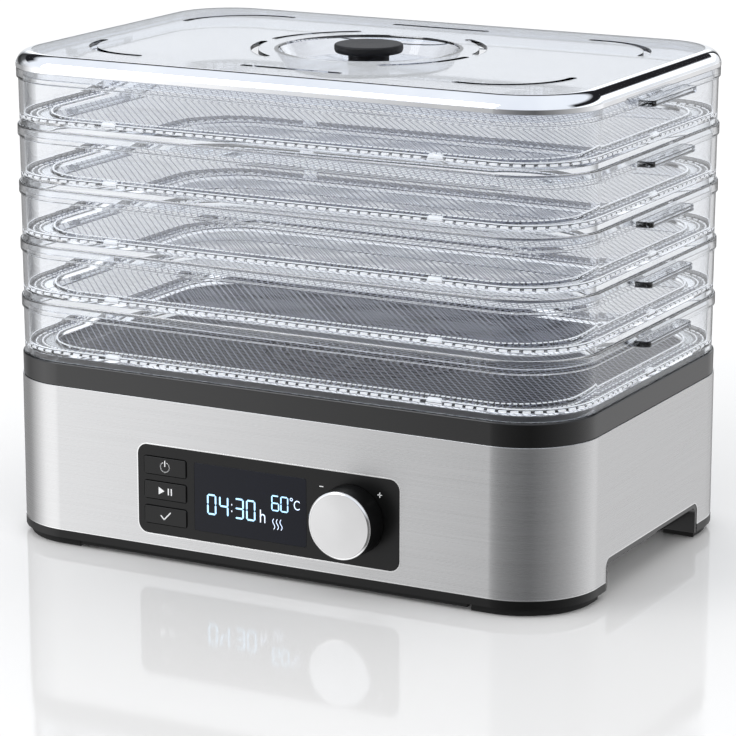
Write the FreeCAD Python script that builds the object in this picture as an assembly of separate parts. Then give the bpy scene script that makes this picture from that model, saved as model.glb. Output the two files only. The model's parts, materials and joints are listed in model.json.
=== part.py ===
"""Food dehydrator: a heated base, five stacking trays and a vented lid.

Frame: millimetres, +Z up, origin on the ground under the centre of the base, front towards -Y.
"""
import FreeCAD, Part
import math
import os

from FreeCAD import Vector

# ---------------------------------------------------------------- driving dimensions
BODY_W = 295.0          # base, left to right
BODY_D = 195.0          # base, front to back
CORNER_R = 36.0         # plan radius of the base's vertical corners
FRONT_Y = -BODY_D / 2
REAR_Y = BODY_D / 2
SIDE_X = BODY_W / 2

FOOT_TOP = 3.6
SHELL_BOTTOM = 6.0
SHELL_TOP = 77.0
RIM_TOP = 88.0
SHELL_WALL = 1.0

TRAY_COUNT = 5
TRAY_PITCH = 27.0       # one tray's seat to the next
BEAD_HEIGHT = 6.0
NEST_DEPTH = 4.0        # how far a tray or the lid reaches into the bead below it
NEST_INSET = 3.1        # outside of that nesting skirt
CLEAR_WALL = 1.8        # moulded clear plastic

LID_HEIGHT = 7.0        # lid above the top tray's bead
LID_EDGE_R = 6.0
DISH_R = 42.0
DISH_DEPTH = 8.0
LID_KNOB_R = 16.0
LID_KNOB_NECK_R = 9.5
LID_KNOB_THICK = 4.0

HOLD_HALF_Y = 52.0      # hand-hold cut-outs in the two sides
HOLD_TOP = 18.3
HOLD_CORNER_R = 4.0
HOLD_DEPTH = 16.0
HOLD_TRIM = 2.0

FASCIA_HALF_X = 68.0
FASCIA_BOTTOM = 13.1
FASCIA_TOP = 55.4
FASCIA_CORNER_R = 5.0
FASCIA_THICK = 2.5
FIT = 0.15              # gap round a fixed piece set in an opening

WINDOW_X = (-38.0, 20.7)
WINDOW_Z = (17.7, 50.0)
WINDOW_THICK = 1.4

KEY_X = (-64.4, -42.2)
KEY_BOTTOMS = {"set_button": 18.2, "start_pause_button": 30.05, "power_button": 41.7}
KEY_HEIGHT = 8.15
KEY_GAP = 0.2
KEY_PROUD = 0.5
KEY_TRAVEL = 0.8

DIAL_X = 43.9
DIAL_Z = 34.3
DIAL_R = 16.2
DIAL_FACE_R = 15.6
DIAL_GAP = 0.3
DIAL_DEPTH = 12.5
DIAL_CAP_THICK = 1.2
ENCODER_SHAFT_R = 3.0
RUNNING_GAP = 0.05      # radial clearance of a shaft in its bearing

BOARD_FRONT_Y = FRONT_Y + 11.5
BOARD_THICK = 1.6

FAN_Y = 10.0            # the fan's axis stands behind the middle, clear of the controls
DUCT_R = 66.0
DUCT_WALL = 1.6
BLADE_TIP_R = 60.0
BLADE_COUNT = 7
MOTOR_R = 24.0
MOTOR_SHAFT_R = 2.5

COVER_SCREW_X = 118.0
COVER_SCREW_Y = 72.0

DECK_BOTTOM = 80.6
DECK_TOP = 83.6
DECK_INSET = 16.0


# ---------------------------------------------------------------- helpers
def outline(inset, z, radius=None):
    """The body's rounded plan outline, drawn in by inset, at height z."""
    half_x = SIDE_X - inset
    half_y = REAR_Y - inset
    r = CORNER_R - inset if radius is None else radius
    edges = []
    corners = [(half_x - r, half_y - r, 0), (r - half_x, half_y - r, 90),
               (r - half_x, r - half_y, 180), (half_x - r, r - half_y, 270)]
    ends = []
    for cx, cy, start in corners:
        points = []
        for angle in (start, start + 45, start + 90):
            a = math.radians(angle)
            points.append(Vector(cx + r * math.cos(a), cy + r * math.sin(a), z))
        edges.append(Part.Arc(*points).toShape())
        ends.append(points)
    for i in range(4):
        edges.append(Part.LineSegment(ends[i][2], ends[(i + 1) % 4][0]).toShape())
    return Part.Wire(Part.__sortEdges__(edges))


def prism(inset, z0, z1, radius=None):
    return Part.Face(outline(inset, z0, radius)).extrude(Vector(0, 0, z1 - z0))


def band(outer_inset, inner_inset, z0, z1):
    """A closed band that follows the outline."""
    return prism(outer_inset, z0, z1).cut(prism(inner_inset, z0 - 1, z1 + 1))


def drafted(inset0, z0, inset1, z1):
    """A block whose sides lean from inset0 at z0 to inset1 at z1."""
    return Part.makeLoft([outline(inset0, z0), outline(inset1, z1)], True, True)


def block(x0, x1, y0, y1, z0, z1):
    return Part.makeBox(x1 - x0, y1 - y0, z1 - z0, Vector(x0, y0, z0))


def post(x, y, z0, z1, r):
    return Part.makeCylinder(r, z1 - z0, Vector(x, y, z0))


def rod(x, z, y0, y1, r):
    """A cylinder along Y."""
    return Part.makeCylinder(r, y1 - y0, Vector(x, y0, z), Vector(0, 1, 0))


def tube(x, y, z0, z1, r, wall):
    return post(x, y, z0, z1, r).cut(post(x, y, z0 - 1, z1 + 1, r - wall))


def front_plate(x0, x1, z0, z1, y0, y1, r):
    """A plate facing -Y with rounded corners."""
    plate = block(x0, x1, y0, y1, z0, z1)
    upright = [e for e in plate.Edges if abs(e.tangentAt(e.FirstParameter).y) > 0.99]
    return plate.makeFillet(r, upright)


def union(shapes):
    return shapes[0].multiFuse(shapes[1:]).removeSplitter()


def corners(x, y):
    return [(sx * x, sy * y) for sx in (-1, 1) for sy in (-1, 1)]


def save(name, shape):
    if not shape.isValid():
        raise ValueError(name + " is not a valid solid")
    shape.exportStep(os.path.join("parts", name + ".step"))


# ---------------------------------------------------------------- base: housing
def hand_hold(side, depth, trim):
    """The space of a hand-hold, open downwards and outwards; trim makes it smaller all round."""
    half_y = HOLD_HALF_Y - trim
    top = HOLD_TOP - trim
    box = block(-depth, 1, -half_y, half_y, -2, top)
    upper = [e for e in box.Edges
             if abs(e.tangentAt(e.FirstParameter).x) > 0.99 and e.BoundBox.ZMin > 0]
    box = box.makeFillet(HOLD_CORNER_R - trim / 2, upper)
    if side < 0:
        box.rotate(Vector(0, 0, 0), Vector(0, 0, 1), 180)
    box.translate(Vector(side * SIDE_X, 0, 0))
    return box


def make_steel_shell():
    shell = band(0, SHELL_WALL, SHELL_BOTTOM, SHELL_TOP)
    shell = shell.cut(front_plate(-FASCIA_HALF_X, FASCIA_HALF_X, FASCIA_BOTTOM, FASCIA_TOP,
                                  FRONT_Y - 5, FRONT_Y + 5, FASCIA_CORNER_R))
    for side in (-1, 1):
        shell = shell.cut(hand_hold(side, 5, 0))
    return shell.cut(rod(GLAND_X, GLAND_Z, REAR_Y - 5, REAR_Y + 5, GLAND_R + 0.1))


def make_top_rim():
    lip_inset = 2.75
    plug_depth = 7.0
    ledge_depth = 1.6
    ring = band(0.3, lip_inset, SHELL_TOP, RIM_TOP)
    top_edges = [e for e in ring.Edges if abs(e.BoundBox.ZMin - RIM_TOP) < 0.01
                 and abs(e.BoundBox.ZMax - RIM_TOP) < 0.01]
    ring = ring.makeFillet(0.7, top_edges)
    flange = band(lip_inset - 0.5, DECK_INSET, DECK_BOTTOM, DECK_TOP)
    ledge = band(lip_inset - 0.5, DECK_INSET + 4, DECK_BOTTOM - ledge_depth, DECK_BOTTOM)
    plug = band(SHELL_WALL + 0.2, SHELL_WALL + 1.8, SHELL_TOP - plug_depth, DECK_BOTTOM)
    shoulder = band(0.3, SHELL_WALL + 1.8, SHELL_TOP, SHELL_TOP + 2)
    posts = []
    for x, y in corners(COVER_SCREW_X, COVER_SCREW_Y):
        posts.append(post(x, y, SHELL_BOTTOM, DECK_BOTTOM - ledge_depth + 0.2, 4.5))
    rim = union([ring, flange, ledge, plug, shoulder] + posts)
    for x, y in corners(COVER_SCREW_X, COVER_SCREW_Y):
        rim = rim.cut(post(x, y, SHELL_BOTTOM - 1, SHELL_BOTTOM + 12, 1.8))
    return rim


def make_air_deck():
    """The drying chamber's floor, with the round outlet grille over the fan."""
    deck = prism(DECK_INSET, DECK_BOTTOM, DECK_TOP)
    slots = []
    for mean_r in (12, 20, 28, 36, 44, 52):
        slots.append(tube(0, FAN_Y, DECK_BOTTOM - 1, DECK_TOP + 1, mean_r + 2.2, 4.4))
    vents = slots[0].multiFuse(slots[1:])
    for angle in range(0, 180, 45):
        spoke = block(-70, 70, -2, 2, DECK_BOTTOM - 2, DECK_TOP + 2)
        spoke.rotate(Vector(0, 0, 0), Vector(0, 0, 1), angle)
        spoke.translate(Vector(0, FAN_Y, 0))
        vents = vents.cut(spoke)
    return deck.cut(vents)


def make_bottom_cover():
    lip = prism(1.0, FOOT_TOP, SHELL_BOTTOM)
    upstand = band(SHELL_WALL + 0.2, SHELL_WALL + 1.8, FOOT_TOP, SHELL_BOTTOM + 4)
    bosses = []
    for x, y in motor_bracket_feet():
        bosses.append(post(x, y, SHELL_BOTTOM - 1, BRACKET_BOTTOM, 5))
    for x, y in power_board_feet():
        bosses.append(post(x, y, SHELL_BOTTOM - 1, POWER_BOARD_BOTTOM, 3))
    liners = []
    for side in (-1, 1):
        shell = hand_hold(side, HOLD_DEPTH + HOLD_TRIM, 0.1)
        liners.append(shell.common(prism(0.15, FOOT_TOP, HOLD_TOP)))
    cover = union([lip, upstand] + bosses + liners)
    for side in (-1, 1):
        cover = cover.cut(hand_hold(side, HOLD_DEPTH, HOLD_TRIM))
    intake_half = 44
    for x in range(-intake_half, intake_half + 1, 8):
        reach = math.sqrt(54.0 ** 2 - x ** 2)
        if abs(x) < MOTOR_R:
            runs = [(-reach, -MOTOR_R - 6), (MOTOR_R + 6, reach)]
        else:
            runs = [(-reach, reach)]
        for y0, y1 in runs:
            slot = block(x - 2, x + 2, FAN_Y + y0, FAN_Y + y1, FOOT_TOP - 1, SHELL_BOTTOM + 1)
            cover = cover.cut(slot)
    for x, y in corners(COVER_SCREW_X, COVER_SCREW_Y):
        cover = cover.cut(post(x, y, FOOT_TOP - 1, FOOT_TOP + 1.5, 3.7))
        cover = cover.cut(post(x, y, FOOT_TOP, SHELL_BOTTOM + 1, 2.0))
    return cover


def make_foot(side_x, side_y):
    """A rubber foot that follows one rounded corner of the base."""
    along_front = 102.0
    along_side = 54.0
    ring = band(2.5, 18.0, 0, FOOT_TOP)
    corner = block(along_front, 200, along_side, 200, -1, FOOT_TOP + 1)
    if side_x < 0:
        corner = corner.mirror(Vector(0, 0, 0), Vector(1, 0, 0))
    if side_y < 0:
        corner = corner.mirror(Vector(0, 0, 0), Vector(0, 1, 0))
    return ring.common(corner)


GLAND_X = 96.0
GLAND_Z = 24.0
GLAND_R = 5.0


def make_cord_gland():
    """The rear bush that the mains lead would enter by."""
    barrel = rod(GLAND_X, GLAND_Z, REAR_Y - 6, REAR_Y, GLAND_R)
    collar = rod(GLAND_X, GLAND_Z, REAR_Y, REAR_Y + 2.0, GLAND_R + 2.5)
    nut = rod(GLAND_X, GLAND_Z, REAR_Y - 4.5, REAR_Y - SHELL_WALL, GLAND_R + 2.5)
    gland = union([barrel, collar, nut])
    return gland.cut(rod(GLAND_X, GLAND_Z, REAR_Y - 10, REAR_Y + 10, 3.2))


def make_cover_screws():
    screws = []
    for x, y in corners(COVER_SCREW_X, COVER_SCREW_Y):
        head = post(x, y, FOOT_TOP, FOOT_TOP + 1.5, 3.5)
        head = head.cut(block(x - 0.5, x + 0.5, y - 2, y + 2, FOOT_TOP - 1, FOOT_TOP + 0.7))
        head = head.cut(block(x - 2, x + 2, y - 0.5, y + 0.5, FOOT_TOP - 1, FOOT_TOP + 0.7))
        screws.append(union([head, post(x, y, FOOT_TOP + 1.5, SHELL_BOTTOM + 11, 1.75)]))
    return Part.makeCompound(screws)


# ---------------------------------------------------------------- base: controls
def board_posts():
    return [(x, z) for x in (-68.3, 68.3) for z in (14.0, 54.5)]


def make_control_fascia():
    back_y = FRONT_Y + FASCIA_THICK
    face = front_plate(-FASCIA_HALF_X + FIT, FASCIA_HALF_X - FIT, FASCIA_BOTTOM + FIT,
                       FASCIA_TOP - FIT, FRONT_Y, back_y, FASCIA_CORNER_R - FIT)
    flange = front_plate(-FASCIA_HALF_X - 3, FASCIA_HALF_X + 3, FASCIA_BOTTOM - 2.6,
                         FASCIA_TOP + 2.6, FRONT_Y + SHELL_WALL + 0.1, back_y, 6)
    posts = [rod(x, z, back_y - 0.5, BOARD_FRONT_Y, 2.0) for x, z in board_posts()]
    fascia = union([face, flange] + posts)
    for bottom in KEY_BOTTOMS.values():
        fascia = fascia.cut(front_plate(KEY_X[0] - KEY_GAP, KEY_X[1] + KEY_GAP,
                                        bottom - KEY_GAP, bottom + KEY_HEIGHT + KEY_GAP,
                                        FRONT_Y - 1, back_y + 1, 0.9))
    window_seat = front_plate(WINDOW_X[0], WINDOW_X[1], WINDOW_Z[0], WINDOW_Z[1],
                              FRONT_Y - 1, FRONT_Y + WINDOW_THICK, 1.0)
    window_hole = front_plate(WINDOW_X[0] + 2, WINDOW_X[1] - 2, WINDOW_Z[0] + 2,
                              WINDOW_Z[1] - 2, FRONT_Y, back_y + 1, 1.0)
    fascia = fascia.cut(window_seat).cut(window_hole)
    fascia = fascia.cut(rod(DIAL_X, DIAL_Z, FRONT_Y - 1, back_y + 1, 4.8))
    for x, z in board_posts():
        fascia = fascia.cut(rod(x, z, BOARD_FRONT_Y - 6, BOARD_FRONT_Y + 1, 1.0))
    return fascia


def make_display_window():
    return front_plate(WINDOW_X[0] + 0.05, WINDOW_X[1] - 0.05, WINDOW_Z[0] + 0.05,
                       WINDOW_Z[1] - 0.05, FRONT_Y, FRONT_Y + WINDOW_THICK, 1.0)


def make_display_module():
    glass = block(WINDOW_X[0] + 3, WINDOW_X[1] - 3, FRONT_Y + 4, FRONT_Y + 6,
                  WINDOW_Z[0] + 3, WINDOW_Z[1] - 3)
    backlight = block(WINDOW_X[0] + 4, WINDOW_X[1] - 4, FRONT_Y + 6, BOARD_FRONT_Y,
                      WINDOW_Z[0] + 4, WINDOW_Z[1] - 4)
    return union([glass, backlight])


def make_control_board():
    board = block(-70, 70, BOARD_FRONT_Y, BOARD_FRONT_Y + BOARD_THICK, 12, 56.5)
    for x, z in board_posts():
        board = board.cut(rod(x, z, BOARD_FRONT_Y - 1, BOARD_FRONT_Y + BOARD_THICK + 1, 1.2))
    chip = block(-20, -6, BOARD_FRONT_Y + BOARD_THICK, BOARD_FRONT_Y + BOARD_THICK + 2, 28, 42)
    plug = block(20, 44, BOARD_FRONT_Y + BOARD_THICK, BOARD_FRONT_Y + BOARD_THICK + 7, 18, 24)
    return union([board, chip, plug])


def make_board_screws():
    back_y = BOARD_FRONT_Y + BOARD_THICK
    screws = []
    for x, z in board_posts():
        head = rod(x, z, back_y, back_y + 1.5, 2.0)
        screws.append(union([head, rod(x, z, BOARD_FRONT_Y - 5, back_y, 0.95)]))
    return Part.makeCompound(screws)


def key_centre(bottom):
    return (KEY_X[0] + KEY_X[1]) / 2, bottom + KEY_HEIGHT / 2


def make_tact_switches():
    switches = []
    for bottom in KEY_BOTTOMS.values():
        x, z = key_centre(bottom)
        body = block(x - 3, x + 3, BOARD_FRONT_Y - 3.5, BOARD_FRONT_Y, z - 3, z + 3)
        switches.append(union([body, rod(x, z, BOARD_FRONT_Y - 4.3, BOARD_FRONT_Y - 3.5, 1.7)]))
    return Part.makeCompound(switches)


def make_key(bottom):
    """A key cap with a retaining collar behind the fascia and a stem to its switch."""
    x, z = key_centre(bottom)
    top = bottom + KEY_HEIGHT
    back_y = FRONT_Y + FASCIA_THICK
    cap = front_plate(KEY_X[0], KEY_X[1], bottom, top, FRONT_Y - KEY_PROUD, back_y + 0.3, 0.7)
    collar = block(KEY_X[0] - 1.1, KEY_X[1] + 1.1, back_y + 0.2, back_y + 1.2,
                   bottom - 1.1, top + 1.1)
    stem = rod(x, z, back_y + 1, BOARD_FRONT_Y - 4.3 - KEY_TRAVEL - 0.2, 2.0)
    return union([cap, collar, stem])


def make_encoder_body():
    box = block(DIAL_X - 6, DIAL_X + 6, FRONT_Y + 5, BOARD_FRONT_Y, DIAL_Z - 6, DIAL_Z + 6)
    bush = rod(DIAL_X, DIAL_Z, FRONT_Y + 0.3, FRONT_Y + 6, 4.5)
    body = union([box, bush])
    return body.cut(rod(DIAL_X, DIAL_Z, FRONT_Y - 1, BOARD_FRONT_Y - 1.5,
                        ENCODER_SHAFT_R + RUNNING_GAP))


def make_encoder_shaft():
    return rod(DIAL_X, DIAL_Z, FRONT_Y - DIAL_DEPTH + 4, BOARD_FRONT_Y - 2, ENCODER_SHAFT_R)


def make_dial_body():
    face_y = FRONT_Y - DIAL_DEPTH + DIAL_CAP_THICK
    back_y = FRONT_Y - DIAL_GAP
    body = Part.makeCone(DIAL_FACE_R, DIAL_R, back_y - face_y, Vector(DIAL_X, face_y, DIAL_Z),
                         Vector(0, 1, 0))
    hollow = rod(DIAL_X, DIAL_Z, face_y + 3, back_y + 1, DIAL_FACE_R - 2)
    hub = rod(DIAL_X, DIAL_Z, face_y + 2, back_y - 1, 6)
    body = union([body.cut(hollow), hub])
    return body.cut(rod(DIAL_X, DIAL_Z, FRONT_Y - DIAL_DEPTH + 4, back_y + 1, ENCODER_SHAFT_R))


def make_dial_cap():
    face_y = FRONT_Y - DIAL_DEPTH
    cap = rod(DIAL_X, DIAL_Z, face_y, face_y + DIAL_CAP_THICK, DIAL_FACE_R)
    rim = [e for e in cap.Edges if abs(e.BoundBox.YMax - face_y) < 0.01]
    return cap.makeChamfer(0.8, rim)


# ---------------------------------------------------------------- base: fan and heater
BRACKET_BOTTOM = 12.4
BRACKET_THICK = 1.6
MOTOR_TOP = 38.0
POWER_BOARD_BOTTOM = 16.0


def motor_bracket_feet():
    return [(-56.0, FAN_Y), (56.0, FAN_Y)]


def power_board_feet():
    return [(x, y) for x in (-124.0, -82.0) for y in (-34.0, 50.0)]


def make_air_duct():
    duct = tube(0, FAN_Y, 30, DECK_BOTTOM, DUCT_R, DUCT_WALL)
    flange = tube(0, FAN_Y, DECK_BOTTOM - 2, DECK_BOTTOM, DUCT_R + 7, 7.5)
    flange = flange.common(prism(DECK_INSET + 4.5, DECK_BOTTOM - 3, DECK_BOTTOM + 1))
    bell = tube(0, FAN_Y, 30, 32, DUCT_R + 4, 4.5)
    return union([duct, flange, bell])


def make_motor_bracket():
    top = BRACKET_BOTTOM + BRACKET_THICK
    strap = block(-62, 62, FAN_Y - 9, FAN_Y + 9, BRACKET_BOTTOM, top)
    seat = post(0, FAN_Y, BRACKET_BOTTOM, top, MOTOR_R)
    bracket = union([strap, seat])
    for x, y in motor_bracket_feet():
        bracket = bracket.cut(post(x, y, BRACKET_BOTTOM - 1, top + 1, 2.0))
    return bracket


def make_motor_screws():
    top = BRACKET_BOTTOM + BRACKET_THICK
    return Part.makeCompound([post(x, y, top, top + 2, 3.5) for x, y in motor_bracket_feet()])


def make_fan_motor():
    bottom = BRACKET_BOTTOM + BRACKET_THICK
    body = post(0, FAN_Y, bottom, MOTOR_TOP, MOTOR_R)
    rims = [e for e in body.Edges if abs(e.BoundBox.ZMin - e.BoundBox.ZMax) < 0.01]
    body = body.makeFillet(2.0, rims)
    nose = post(0, FAN_Y, MOTOR_TOP, MOTOR_TOP + 3, 6)
    motor = union([body, nose])
    return motor.cut(post(0, FAN_Y, MOTOR_TOP - 10, MOTOR_TOP + 4, MOTOR_SHAFT_R + RUNNING_GAP))


def make_motor_shaft():
    return post(0, FAN_Y, MOTOR_TOP - 9, MOTOR_TOP + 16, MOTOR_SHAFT_R)


def make_impeller():
    hub_bottom = MOTOR_TOP + 6
    hub_top = hub_bottom + 12
    parts = [post(0, FAN_Y, hub_bottom, hub_top, 16)]
    mid = (hub_bottom + hub_top) / 2
    for i in range(BLADE_COUNT):
        blade = block(13, BLADE_TIP_R + 2, -9, 9, -0.9, 0.9)
        blade.rotate(Vector(0, 0, 0), Vector(1, 0, 0), 34)
        blade.rotate(Vector(0, 0, 0), Vector(0, 0, 1), i * 360.0 / BLADE_COUNT)
        blade.translate(Vector(0, FAN_Y, mid))
        parts.append(blade)
    wheel = union(parts)
    wheel = wheel.common(post(0, FAN_Y, hub_bottom, hub_top, BLADE_TIP_R))
    return wheel.cut(post(0, FAN_Y, hub_bottom - 1, MOTOR_TOP + 16, MOTOR_SHAFT_R))


HEATER_BOTTOM = 62.0
HEATER_TOP = 74.0


def make_heater_frame():
    """Two crossed mica boards that span the duct."""
    reach = DUCT_R - DUCT_WALL
    boards = []
    for angle in (45, 135):
        board = block(-reach + 0.5, reach - 0.5, -0.6, 0.6, HEATER_BOTTOM, HEATER_TOP)
        board.rotate(Vector(0, 0, 0), Vector(0, 0, 1), angle)
        board.translate(Vector(0, FAN_Y, 0))
        boards.append(board)
    return union(boards)


def make_heater_coil():
    """Resistance wire in rings on top of the boards, joined along one radius."""
    wire_r = 1.0
    level = HEATER_TOP + wire_r
    rings = []
    for mean_r in (18.0, 30.0, 42.0, 54.0):
        rings.append(Part.makeTorus(mean_r, wire_r, Vector(0, FAN_Y, level)))
    link = Part.makeCylinder(wire_r * 0.8, 36.0, Vector(18.0, FAN_Y, level), Vector(1, 0, 0))
    return union(rings + [link])


def make_thermal_cutout():
    body = block(DUCT_R, DUCT_R + 8, FAN_Y - 7, FAN_Y + 7, 56, 70)
    button = Part.makeCylinder(4.5, 3, Vector(DUCT_R + 8, FAN_Y, 63), Vector(1, 0, 0))
    return union([body, button])


def make_temperature_sensor():
    stalk = post(0, FAN_Y, HEATER_TOP, HEATER_TOP + 4, 1.2)
    bead = Part.makeSphere(1.8, Vector(0, FAN_Y, HEATER_TOP + 4.6))
    return union([stalk, bead])


def make_power_board():
    feet = power_board_feet()
    xs = [x for x, y in feet]
    ys = [y for x, y in feet]
    top = POWER_BOARD_BOTTOM + BOARD_THICK
    board = block(min(xs) - 4, max(xs) + 4, min(ys) - 4, max(ys) + 4, POWER_BOARD_BOTTOM, top)
    capacitor = post(-112, -18, top, top + 20, 7)
    relay = block(-100, -84, -30, -12, top, top + 15)
    transformer = block(-120, -94, 8, 40, top, top + 22)
    fuse = block(-90, -84, 6, 26, top, top + 6)
    return union([board, capacitor, relay, transformer, fuse])


def make_terminal_block():
    """The strip where the mains lead's wires would end."""
    strip = block(84, 108, 66, 78, SHELL_BOTTOM, SHELL_BOTTOM + 14)
    for x in (88, 96, 104):
        strip = strip.cut(post(x, 72, SHELL_BOTTOM + 9, SHELL_BOTTOM + 15, 2))
    return strip


# ---------------------------------------------------------------- trays
def seat_height(level):
    """Where tray number level rests, counted from the top; 0 is the lid."""
    return RIM_TOP + (TRAY_COUNT - level) * TRAY_PITCH


MESH_INSET = 14.0
MESH_CORNER_R = 30.0
FLOOR_BOTTOM = 2.3      # above the tray's seat
FLOOR_TOP = 3.8
GRIP_HALF_Y = 25.0
GRIP_REACH = 7.0
GRIP_THICK = 2.8


def make_tray(level):
    seat = seat_height(level)
    top = seat + TRAY_PITCH
    bead_bottom = top - BEAD_HEIGHT
    wall = drafted(1.8, seat, 1.0, top)
    wall = wall.cut(drafted(1.8 + CLEAR_WALL, seat - 0.001, 1.0 + CLEAR_WALL, top + 0.001))
    bead = band(0.2, 1.0 + CLEAR_WALL, bead_bottom, top)
    outside = [e for e in bead.Edges if e.BoundBox.XLength > BODY_W - 2 * CORNER_R - 30
               and abs(abs(e.BoundBox.YMin) - (REAR_Y - 0.2)) < 0.01]
    bead = bead.makeChamfer(0.6, outside)
    shoulder = band(1.8, NEST_INSET + CLEAR_WALL, seat, seat + 1.4)
    skirt = band(NEST_INSET, NEST_INSET + CLEAR_WALL, seat - NEST_DEPTH, seat + 1.4)
    floor = prism(2.6, seat + FLOOR_BOTTOM, seat + FLOOR_TOP)
    mesh_hole = prism(MESH_INSET, seat, top, MESH_CORNER_R)
    lip = prism(MESH_INSET - 1.2, seat + FLOOR_BOTTOM, seat + FLOOR_TOP + 1, MESH_CORNER_R + 1.2)
    pieces = [wall, bead, shoulder, skirt, floor.cut(mesh_hole), lip.cut(mesh_hole)]
    for x in (-83.0, 83.0):
        for side in (-1, 1):
            y0 = side * (REAR_Y - 6.5)
            y1 = side * (REAR_Y - 2.6)
            pieces.append(block(x - 4, x + 4, min(y0, y1), max(y0, y1),
                                seat + 1.0, seat + FLOOR_TOP))
    for side in (-1, 1):
        x0 = side * (SIDE_X - 1.2)
        x1 = side * (SIDE_X + GRIP_REACH)
        grip_bottom = top - BEAD_HEIGHT / 2 - 2.2
        grip = block(min(x0, x1), max(x0, x1), -GRIP_HALF_Y, GRIP_HALF_Y,
                     grip_bottom, grip_bottom + GRIP_THICK)
        outer = [e for e in grip.Edges if abs(e.tangentAt(e.FirstParameter).z) > 0.99
                 and abs(abs(e.BoundBox.XMin) - (SIDE_X + GRIP_REACH)) < 0.01]
        pieces.append(grip.makeFillet(3.0, outer))
    return union(pieces)


def make_tray_mesh(level):
    """The tray's open floor: a thin sheet pierced by staggered diamonds."""
    bottom = seat_height(level) + FLOOR_BOTTOM + 0.3
    thick = 0.8
    pitch_x = 16.0
    pitch_y = 12.0
    rib = 2.0
    outer = outline(MESH_INSET, bottom, MESH_CORNER_R)
    limit = Part.Face(outline(MESH_INSET + 3, bottom, MESH_CORNER_R - 3))
    wires = [outer]
    columns = int(SIDE_X / pitch_x)
    rows = int(2 * REAR_Y / pitch_y)
    half_x = pitch_x / 2 - rib / 2
    half_y = pitch_y / 2 - rib / 2
    for row in range(-rows, rows + 1):
        y = row * pitch_y / 2
        shift = pitch_x / 2 if row % 2 else 0.0
        for column in range(-columns - 1, columns + 1):
            x = column * pitch_x + shift
            tips = [Vector(x + half_x, y, bottom), Vector(x, y + half_y, bottom),
                    Vector(x - half_x, y, bottom), Vector(x, y - half_y, bottom)]
            if all(limit.isInside(tip, 0.01, True) for tip in tips):
                wires.append(Part.makePolygon(tips + [tips[0]]))
    sheet = Part.makeFace(wires, "Part::FaceMakerBullseye")
    return sheet.extrude(Vector(0, 0, thick))


# ---------------------------------------------------------------- lid
def arc_slot(mean_r, start, end, z0, z1, width):
    """A slot along an arc about the lid's centre, with round ends."""
    ring = tube(0, 0, z0, z1, mean_r + width / 2, width)
    a0 = math.radians(start)
    a1 = math.radians(end)
    far = 4 * mean_r
    mid = (a0 + a1) / 2
    fan = [Vector(0, 0, z0), Vector(far * math.cos(a0), far * math.sin(a0), z0),
           Vector(far * math.cos(mid), far * math.sin(mid), z0),
           Vector(far * math.cos(a1), far * math.sin(a1), z0), Vector(0, 0, z0)]
    wedge = Part.Face(Part.makePolygon(fan)).extrude(Vector(0, 0, z1 - z0))
    ends = [post(mean_r * math.cos(a), mean_r * math.sin(a), z0, z1, width / 2)
            for a in (a0, a1)]
    return union([ring.common(wedge)] + ends)


def straight_slot(half_x, y, z0, z1, width):
    parts = [block(-half_x, half_x, y - width / 2, y + width / 2, z0, z1)]
    parts += [post(x, y, z0, z1, width / 2) for x in (-half_x, half_x)]
    return union(parts)


def corner_slot(side_x, side_y, z0, z1, width):
    """A slot that follows one corner of the lid."""
    inset = 26.5
    r = 34.0
    cx = SIDE_X - inset - r
    cy = REAR_Y - inset - r
    arc = tube(cx, cy, z0, z1, r + width / 2, width)
    arc = arc.common(block(cx, 200, cy, 200, z0, z1))
    leg = block(cx - 6, cx, cy + r - width / 2, cy + r + width / 2, z0, z1)
    ends = [post(cx - 6, cy + r, z0, z1, width / 2), post(cx + r, cy, z0, z1, width / 2)]
    slot = union([arc, leg] + ends)
    if side_x < 0:
        slot = slot.mirror(Vector(0, 0, 0), Vector(1, 0, 0))
    if side_y < 0:
        slot = slot.mirror(Vector(0, 0, 0), Vector(0, 1, 0))
    return slot


def make_lid():
    seat = seat_height(0)
    top = seat + LID_HEIGHT
    wall = 2.0
    outer = prism(0.2, seat, top)
    inner = prism(0.2 + wall, seat - 1, top - wall)
    outer = outer.makeFillet(LID_EDGE_R, [e for e in outer.Edges
                                          if e.BoundBox.ZMin > top - 0.01])
    inner = inner.makeFillet(LID_EDGE_R - wall, [e for e in inner.Edges
                                                 if e.BoundBox.ZMin > top - wall - 0.01])
    skirt = band(NEST_INSET, NEST_INSET + CLEAR_WALL, seat - NEST_DEPTH, seat + 2)
    shoulder = band(1.0, NEST_INSET + CLEAR_WALL, seat, seat + 2)
    dish_floor = top - DISH_DEPTH
    well = Part.makeCone(DISH_R - 5, DISH_R, DISH_DEPTH, Vector(0, 0, dish_floor))
    bowl = Part.makeCone(DISH_R - 5 + wall, DISH_R + wall, DISH_DEPTH, Vector(0, 0, dish_floor - wall))
    bowl = union([bowl, post(0, 0, dish_floor - wall, dish_floor - wall + 1, DISH_R - 5 + wall)])
    lid = union([outer.cut(inner), skirt, shoulder, bowl])
    lid = lid.cut(well).cut(post(0, 0, dish_floor - 5, dish_floor + 5, 2.2))
    below = top - wall - 1
    above = top + 1
    slot_width = 3.6
    for start in (6, 124, 186, 304):
        lid = lid.cut(arc_slot(53.0, start, start + 50, below, above, slot_width))
    for side in (-1, 1):
        lid = lid.cut(straight_slot(24, side * 73.0, below, above, slot_width))
    for side_x, side_y in corners(1, 1):
        lid = lid.cut(corner_slot(side_x, side_y, below, above, slot_width))
    return lid


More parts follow.
